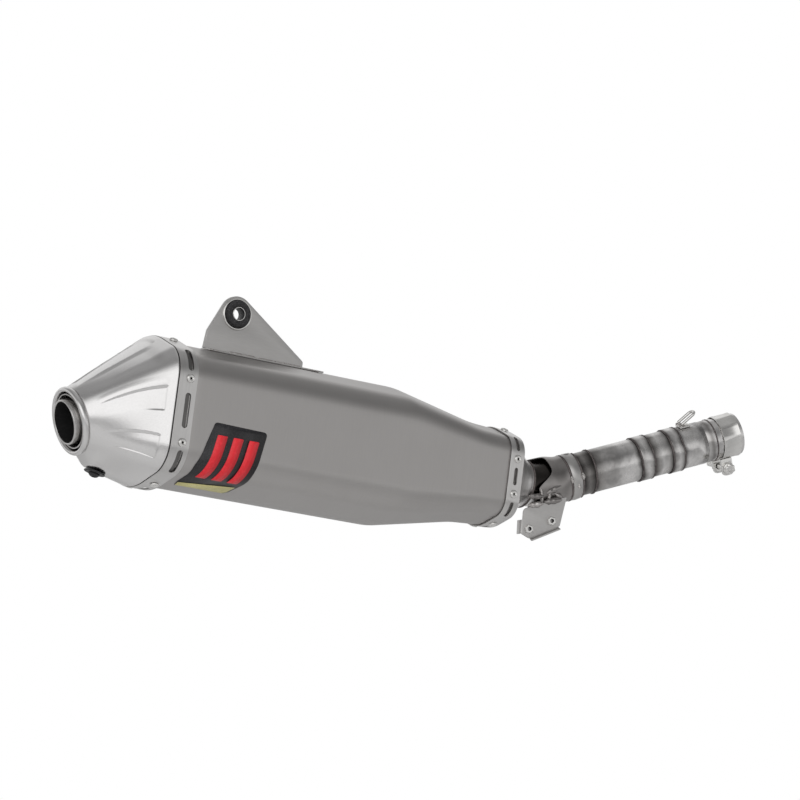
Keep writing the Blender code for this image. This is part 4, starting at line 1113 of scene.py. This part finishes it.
def make_mouth():
    """Open scooped shell round the bend, tied on with lumpy welds, and the saddle above the bracket."""
    inner = PIPE_RADIUS + GAP
    steps = 240
    stations = 16

    def shell_radius(height):
        """Radius at a height along the pipe, in millimetres."""
        if height <= 14:
            return 28.0 - 0.5 * (height + 4) / 18
        share = smooth(14, 30, height)
        return 27.5 + (inner / MM + 1.5 - 27.5) * share

    rows = []
    for station in range(stations + 1):
        share = station / stations
        row = []
        for step in range(steps):
            angle = 2 * math.pi * step / steps
            scoop = 20 * smooth(0.55, 0.96, math.cos(angle - math.radians(42)))
            low = -5 + scoop
            height = low + (33 - low) * share
            radius = shell_radius(height) * MM
            row.append(Vector((radius * math.cos(angle), radius * math.sin(angle), height * MM)))
        rows.append(row)
    obj = grid("mouth_sheet", rows[::-1], SMOKED_METAL, place=PIPE)
    tidy(obj)
    # painted shade: the shell's inner side is painted near-black
    wall(obj, 1.4 * MM, inside=SOOT_AND_SHADE)
    settle(obj)
    soften(obj, 0.35 * MM, 2, 50)
    piece(obj, "silencer", "mouth_shell", slot="pipe_heat_tinted")

    outer = inner + 1.6 * MM
    rows = []
    start, span = math.radians(-10), math.radians(200)
    for height, rise in ((35, -0.5), (35.6, 0), (40, 0.4), (45.4, 0), (46, -0.5)):
        rows.append(circle(outer + rise * MM, height * MM, 48, start, span))
    band = grid("saddle_strap", rows[::-1], PLATE_METAL, around=False, place=PIPE)
    tidy(band)
    wall(band, 1.4 * MM)
    settle(band)
    dimple = PIPE @ axes((outer, 8 * MM, 40.5 * MM), (1, 0.32, 0), Z_AXIS)
    cut(band, [drill("saddle_hole", 2.1 * MM, dimple, DRILL_REACH, -DRILL_REACH, HEAT_TINT_AND_SHADE_METAL)])
    piece(band, "silencer", "bracket_saddle", slot="pipe_heat_tinted")

    pipe_weld("mouth_weld", 34 * MM, inner + 0.7 * MM, 1.3 * MM, SCORCHED_WELD, 0, 360)
    pipe_weld("saddle_weld", 47 * MM, inner + 0.5 * MM, 1.2 * MM, SCORCHED_WELD, 10, 175)
    for number, (height, start, end) in enumerate(((34, 88, 106), (47, 86, 104), (41, 112, 124)), start=1):
        pipe_weld(f"saddle_lump_{number}", height * MM, inner + 1.6 * MM, 2.1 * MM, WELD_METAL, start, end)
    pipe_weld("mouth_seam", 8 * MM, 28.0 * MM, 1.9 * MM, WELD_METAL, 104, 150, lean=6 * MM)
    pipe_weld("mouth_foot", -3 * MM, 27.6 * MM, 1.7 * MM, WELD_METAL, 96, 140)


def make_lower_bracket():
    """Folded bracket with a rounded corner, two weld nuts, a turned-out foot and weld lumps above."""
    near, thick = 23 * MM, 2 * MM
    corners = ((-19, -26), (-18.5, 23.6), (-46, 8), (-50, -28), (-43.6, -34.6))
    outline = rounded([(x * MM, -z * MM) for x, z in corners], [6 * MM, 1 * MM, 1.5 * MM, 1 * MM, 2 * MM], 10)
    place = PIPE @ axes((0, near + thick / 2, 0), (0, 1, 0), (1, 0, 0))
    face = outlined("bracket_face", outline, thick, place, PLATE_METAL, 0.4 * MM)
    piece(face, "silencer", "lower_bracket", slot="bracket_satin")

    # flange folded away from the viewer's side along the left edge
    bend, flange_depth, fold_in = 1.8 * MM, 8 * MM, 1.2 * MM
    edge_start, edge_end = Vector((-29.5 * MM, 0, -30 * MM)), Vector((-43 * MM, 0, -34.4 * MM))
    fold = arc((near + thick / 2 - bend, bend * 0.3), bend, 0, -90, 8)
    rows = []
    for step in range(6):
        point = edge_start.lerp(edge_end, step / 5)
        row = [point + Vector((0, near + thick / 2, fold_in))]
        row += [point + Vector((0, y, z)) for y, z in fold]
        row.append(Vector((point.x, near - flange_depth, row[-1].z)))
        rows.append(row)
    flange = grid("bracket_flange", rows, PLATE_METAL, around=False, place=PIPE)
    # foot turned out along the lower edge
    foot_start, foot_end = Vector((-46.2 * MM, 0, 6.6 * MM)), Vector((-50 * MM, 0, -27 * MM))
    turn = [(0.6 * MM, near + thick / 2), (-0.6 * MM, near + 1.4 * MM), (-1.7 * MM, near + 2.6 * MM)]
    turn += [(-2.2 * MM, near + 4.2 * MM), (-2.4 * MM, near + 6 * MM)]
    rows = [[Vector((end.x + x, y, end.z)) for x, y in turn] for end in (foot_start, foot_end)]
    foot = grid("bracket_foot", rows, PLATE_METAL, around=False, place=PIPE)
    for sheet in (flange, foot):
        tidy(sheet)
        wall(sheet, thick * 0.9, 0.0)
        settle(sheet)
        soften(sheet, 0.35 * MM, 2, 50)
        piece(sheet, "silencer", slot="bracket_satin")

    for number, (x, z) in enumerate(((-40.5 * MM, -26 * MM), (-38.5 * MM, 0.0)), start=1):
        place = PIPE @ Matrix.Translation((x, near + thick + 0.1 * MM, z))
        place = place @ Matrix.Rotation(math.radians(-90), 4, "X")
        collar = [(4.9 * MM, 3.0 * MM), (5.0 * MM, 0.4 * MM), (5.0 * MM, 0.0), (2.0 * MM, 0.0)]
        collar += [(2.0 * MM, 3.2 * MM), (2.4 * MM, 3.6 * MM), (3.9 * MM, 3.6 * MM)]
        nut = turned(f"bracket_nut_{number}", collar, place, BRIGHT_METAL, 6)
        nut.data.set_sharp_from_angle(angle=math.radians(20))
        back = place.inverted()
        # painted shade: the nut's bore is painted near-black
        tint_faces(nut, SOOT_AND_SHADE, lambda centre: hollow(back @ centre, 2.1 * MM, 3 * MM))
        soften(nut, 0.3 * MM, 2, 20)
        piece(nut, "silencer", f"weld_nut_{number}", slot="rivet_steel")
    lumps = (((-17, 25, -20), (-19, 26, -4)), ((-18, 25.5, -2), (-20, 25, 17)),
             ((-12, 24, 12), (-20, 22, 20)), ((-8, 26.5, -18), (-12, 26.5, -2)), ((-10, 26, 2), (-6, 25, 20)))
    for number, (start, end) in enumerate(lumps, start=1):
        path = [PIPE @ (Vector(point) * MM) for point in (start, end)]
        look = WELD_METAL if number == 1 else SMOKED_METAL
        piece(bead(f"bracket_weld_{number}", path, 3.3 * MM, look, 7 * MM), "silencer", slot="bracket_satin")


def make_spring_hook():
    """A bent wire loop on a rounded pad."""
    top = PIPE_RADIUS + GAP
    frame = PIPE @ Matrix.Rotation(HOOK_TURN, 4, "Z")
    pad_low, pad_high, half = HOOK_FOOT - 3 * MM, HOOK_FOOT + 9 * MM, 6 * MM
    reach = math.degrees(math.asin(half / top))
    rows = [[Vector((x, y, z)) for z in (pad_high, pad_low)] for x, y in arc((0, 0), top, -reach, reach, 12)]
    pad = grid("hook_plate", rows, BRIGHT_METAL, around=False, place=frame)
    tidy(pad, recalculate=False)
    wall(pad, 2 * MM, 1.0)
    settle(pad)
    soften(pad, 0.8 * MM, 4)
    piece(pad, "silencer", "hook_pad", slot="hook_steel")
    half_width, height, lean = 4.5 * MM, 19 * MM, HOOK_LEAN
    foot = top + 2 * MM + HOOK_WIRE * math.sin(lean) + GAP
    loop = [(-half_width, k * 3 * MM) for k in range(4)]
    loop += arc((0, height - half_width), half_width, 180, 0, 18)
    loop += [(half_width, k * 3 * MM) for k in (3, 2, 1, 0)]
    path = []
    for side, up in loop:
        path.append(frame @ Vector((foot + up * math.cos(lean), side, HOOK_FOOT + up * math.sin(lean))))
    wire = sweep("hook_wire", path, HOOK_WIRE, BRIGHT_METAL, 20)
    piece(wire, "silencer", "spring_hook", slot="hook_steel")
    for number, side in enumerate((-1, 1), start=1):
        centre = frame @ Vector((top + 2.3 * MM, side * half_width, HOOK_FOOT))
        around = [centre + frame.to_3x3() @ Vector((0, 2.1 * MM * math.cos(a), 2.4 * MM * math.sin(a)))
                  for a in [math.radians(15 * k) for k in range(25)]]
        piece(bead(f"hook_weld_{number}", around, 0.7 * MM, WELD_METAL), "silencer", slot="hook_steel")


# ---------------------------------------------------------------- clamp


def make_clamp():
    """Bright band rolled at its edges, two lugs, flanged bolt, washer and nut."""
    half, radius, thick = 10 * MM, 23.5 * MM, 1.1 * MM
    gap_angle = math.degrees(math.asin(9.0 * MM / radius))
    span = 360 - 2 * gap_angle
    rows = []
    edge = ((half, 0.15), (half - 0.3 * MM, 0.0), (7.2 * MM, 0.0), (6.6 * MM, -0.25), (0, -0.25),
            (-6.6 * MM, -0.25), (-7.2 * MM, 0.0), (0.3 * MM - half, 0.0), (-half, 0.15))
    facet = 2 * math.pi / 12
    for z, sunk in edge:
        points = circle(1.0, z, 176, math.radians(-180 + gap_angle), math.radians(span))
        for point in points:
            turn = (math.atan2(point.y, point.x) + math.radians(6)) % facet - facet / 2
            flat = min(1.0 / math.cos(turn), 1.018) * (radius - 0.15 * MM) + sunk * MM
            point.x, point.y = point.x * flat, point.y * flat
        rows.append(points)
    band = grid("clamp_strap", rows, BRIGHT_METAL, around=False, place=CLAMP)
    tidy(band)
    wall(band, thick * 0.8)
    settle(band)
    soften(band, 0.2 * MM, 2, 50)

    lug_low, lug_width, lug_z = -39 * MM, 13 * MM, -6.5 * MM
    bore = 3.6 * MM

    def lug(name, y, top, body, nodes, turn_out):
        """An upright ear with a rounded foot and a bolt hole."""
        low, wide = lug_low, lug_width / 2
        corners = ((top, -wide), (top, wide), (low, wide), (low, -wide))
        outline = rounded(corners, (0.5 * MM, 0.5 * MM, 5 * MM, 5 * MM))
        drop = -31.6 * MM
        hole = arc((drop, 0), bore, 0, 360, 32)[:-1]
        place = CLAMP @ axes((0, y, lug_z), (0, 1, 0), (1, 0, 0))
        obj = outlined(name, outline, 3 * MM, place, BRIGHT_METAL, 0.5 * MM, [hole])
        piece(obj, body, *nodes, slot="clamp_bright")
        start, end = (-wide + 1 * MM, wide - 1 * MM)
        path = [place @ Vector((top - 0.6 * MM, z, turn_out * 1.4 * MM)) for z in (start, end)]
        piece(bead(name + "_weld", path, 0.9 * MM, WELD_METAL), body, slot="clamp_bright")

    lug("lug_fixed", 10.5 * MM, -20.9 * MM, "clamp", ("clamp_band",), -1)
    piece(band, "clamp", "clamp_band", slot="clamp_bright")
    lug("lug_sliding", -10.5 * MM, -24.1 * MM, "clamp_jaw", ("clamp_jaw",), 1)

    seat = 12 * MM + GAP
    washer = 1.2 * MM
    profile = ((6.6 * MM, seat + washer - 0.2 * MM), (6.6 * MM, seat + 0.2 * MM), (6.4 * MM, seat),
               (3.6 * MM, seat), (3.6 * MM, seat + washer), (6.4 * MM, seat + washer))
    piece(turned("bolt_washer", profile, BOLT, BRIGHT_METAL), "clamp", "clamp_washer", slot="clamp_bright")

    under = seat + washer + GAP
    shoulder = under + 1.5 * MM
    head = shoulder + 4.5 * MM
    skirt = arc((4.9 * MM, under + 0.7 * MM), 1.3 * MM, -25, 60, 8)
    profile = [(0, -34 * MM), (2.2 * MM, -34 * MM), (3 * MM, -33 * MM)]
    for turn in range(20):
        low = -33 * MM + turn * MM
        profile += [(3.0 * MM, low + 0.25 * MM), (2.55 * MM, low + 0.5 * MM), (3.0 * MM, low + 0.75 * MM)]
    profile += [(3 * MM, under), (5.9 * MM, under)] + skirt + [(0, shoulder + 0.2 * MM)]
    shank = turned("bolt_shank", profile, BOLT, BRIGHT_METAL, 48, loop=False)
    piece(shank, "clamp_bolt", "clamp_bolt", slot="clamp_bright")
    lobes, count = 6, 72
    rows = []
    for height, shrink in ((head, 0.55), (head, 0.86), (head - 0.5 * MM, 1.0), (under + 1.2 * MM, 1.0)):
        row = []
        for k in range(count):
            a = 2 * math.pi * k / count
            r = (5.0 + 0.45 * math.cos(lobes * a)) * MM * shrink
            row.append(Vector((r * math.cos(a), r * math.sin(a), height)))
        rows.append(row)
    rows.insert(0, [Vector((0, 0, head - 0.7 * MM))] * count)
    rows.insert(1, [Vector((p.x * 0.8, p.y * 0.8, head - 0.7 * MM)) for p in rows[1]])
    top = grid("bolt_head", rows, BRIGHT_METAL, place=BOLT)
    tidy(top)
    piece(top, "clamp_bolt", "clamp_bolt", slot="clamp_bright")

    high = -12 * MM - GAP
    profile = ((5.0 * MM, high), (5.8 * MM, high - 0.4 * MM), (5.8 * MM, high - 4.5 * MM),
               (5.1 * MM, high - 5 * MM), (3.6 * MM, high - 5 * MM), (3.6 * MM, high))
    nut = turned("bolt_nut", profile, BOLT, BRIGHT_METAL, 6)
    nut.data.set_sharp_from_angle(angle=math.radians(20))
    soften(nut, 0.25 * MM, 2, 20)
    piece(nut, "clamp_jaw", "clamp_nut", slot="clamp_bright")


def finish_hidden_parts():
    """The silencer's inner parts keep their CAD shape and get their own materials."""
    looks = {"perforated_core": CORE_METAL, "packing_wool": PACKING, "rear_bulkhead": TUBE_METAL,
             "insert_screw_boss": TUBE_METAL}
    for node, material in looks.items():
        mesh = frame["nodes"][node].data
        mesh.materials.clear()
        mesh.materials.append(material)


# ---------------------------------------------------------------- light, floor and camera


def make_world():
    """A plain studio: pale floor side, grey horizon, darker wall above it and a bright ceiling."""
    world = bpy.data.worlds.new("studio")
    bpy.context.scene.world = world
    world.use_nodes = True
    nodes, links = world.node_tree.nodes, world.node_tree.links
    nodes.clear()
    out = nodes.new("ShaderNodeOutputWorld")
    seen = nodes.new("ShaderNodeBackground")
    seen.inputs["Color"].default_value = (1, 1, 1, 1)
    light = nodes.new("ShaderNodeBackground")
    rays = nodes.new("ShaderNodeLightPath")
    choose = nodes.new("ShaderNodeMixShader")
    links.new(rays.outputs["Is Camera Ray"], choose.inputs[0])
    links.new(light.outputs[0], choose.inputs[1])
    links.new(seen.outputs[0], choose.inputs[2])
    links.new(choose.outputs[0], out.inputs["Surface"])
    place = nodes.new("ShaderNodeTexCoord").outputs["Generated"]

    def toward(direction, low, high):
        """0 to 1 as the cosine of the angle from a direction goes from low to high."""
        dot = nodes.new("ShaderNodeVectorMath")
        dot.operation = "DOT_PRODUCT"
        dot.inputs[1].default_value = Vector(direction).normalized()
        links.new(place, dot.inputs[0])
        span = nodes.new("ShaderNodeMapRange")
        span.interpolation_type = "SMOOTHSTEP"
        span.inputs["From Min"].default_value = low
        span.inputs["From Max"].default_value = high
        links.new(dot.outputs["Value"], span.inputs["Value"])
        return span.outputs["Result"]

    def blend(first, second, factor):
        mix = nodes.new("ShaderNodeMix")
        mix.data_type = "RGBA"
        links.new(factor, mix.inputs[0])
        for socket, value in ((mix.inputs[6], first), (mix.inputs[7], second)):
            if isinstance(value, float):
                socket.default_value = (value, value, value, 1)
            else:
                links.new(value, socket)
        return mix.outputs[2]

    height = toward((0, 0, 1), -1.0, 1.0)
    nodes[-1].interpolation_type = "LINEAR"
    ramp = nodes.new("ShaderNodeValToRGB")
    # (0 straight down to 1 straight up, grey)
    stops = ((0.0, 0.80), (0.44, 0.80), (0.50, 0.70), (0.58, 0.62), (0.68, 0.38), (0.80, 0.20))
    stops += ((0.90, 0.26), (1.0, 0.40))
    while len(ramp.color_ramp.elements) < len(stops):
        ramp.color_ramp.elements.new(0.5)
    for element, (position, grey) in zip(ramp.color_ramp.elements, stops):
        element.position = position
        element.color = (grey, grey, grey, 1)
    links.new(height, ramp.inputs["Fac"])
    bright_wall = toward((-0.66, -0.74, 0.06), 0.70, 0.95)
    colour = blend(ramp.outputs["Color"], 1.15, bright_wall)
    far_wall = toward((0.30, 0.88, 0.36), 0.60, 0.92)
    colour = blend(colour, 0.80, far_wall)
    links.new(colour, light.inputs["Color"])


def area_light(name, at, aim, size, power):
    data = bpy.data.lights.new(name, "AREA")
    data.shape = "RECTANGLE"
    data.size, data.size_y = size
    data.energy = power
    obj = bpy.data.objects.new(name, data)
    bpy.context.scene.collection.objects.link(obj)
    obj.visible_glossy = False
    away = Vector(at) - Vector(aim)
    obj.matrix_world = Matrix.Translation(at) @ away.to_track_quat("Z", "Y").to_matrix().to_4x4()


def make_studio():
    """World, two soft boxes and a pale floor far below the part."""
    make_world()
    middle = (0.2, 0, -0.08)
    area_light("top_softbox", at=(0.1, -0.3, 1.3), aim=middle, size=(1.4, 0.7), power=9)
    area_light("outlet_softbox", at=(-1.5, -1.0, 0.25), aim=middle, size=(0.9, 0.9), power=7)
    level, reach, middle_hole = -0.85, 6.0, 0.01
    rows = [circle(radius, 0, 96) for radius in (reach, reach * 0.5, middle_hole)]
    shader = Shader("floor_look", 0.7, 0.0)
    shader.colour(shader.ramp(shader.noise(3.0), ((0.3, 0.84), (0.7, 0.88))))
    floor = grid("floor", rows, shader.material, place=Matrix.Translation((0.2, 0, level)))
    floor.data.flip_normals()


def make_camera():
    """Long lens from low down on the outlet's side, rolled so that the silencer falls to the right."""
    aim = Vector((195.5, -5.8, -52.2)) * MM
    distance = 3.5
    azimuth, elevation, roll = (math.radians(angle) for angle in (-31.0, -7.0, 7.2))
    back = Vector((math.sin(azimuth) * math.cos(elevation), -math.cos(azimuth) * math.cos(elevation),
                   math.sin(elevation)))
    level = (-back).cross(Z_AXIS).normalized()
    upright = level.cross(-back)
    right = level * math.cos(roll) + upright * math.sin(roll)
    up = upright * math.cos(roll) - level * math.sin(roll)
    turn = Matrix((right, up, back)).transposed().to_4x4()
    data = bpy.data.cameras.new("camera")
    data.lens = 155.925
    data.sensor_width = 36.0
    data.clip_end = 20.0
    camera = bpy.data.objects.new("camera", data)
    camera.matrix_world = Matrix.Translation(aim + back * distance) @ turn
    bpy.context.scene.collection.objects.link(camera)
    bpy.context.scene.camera = camera
    bpy.context.scene.view_settings.view_transform = "Standard"


make_sleeve()
make_bands()
make_end_cap()
make_inlet_cap()
make_badge()
make_outlet()
make_hanger()
make_pipe()
make_mouth()
make_lower_bracket()
make_spring_hook()
make_clamp()
finish_hidden_parts()
make_studio()
make_camera()

bpy.context.view_layer.update()
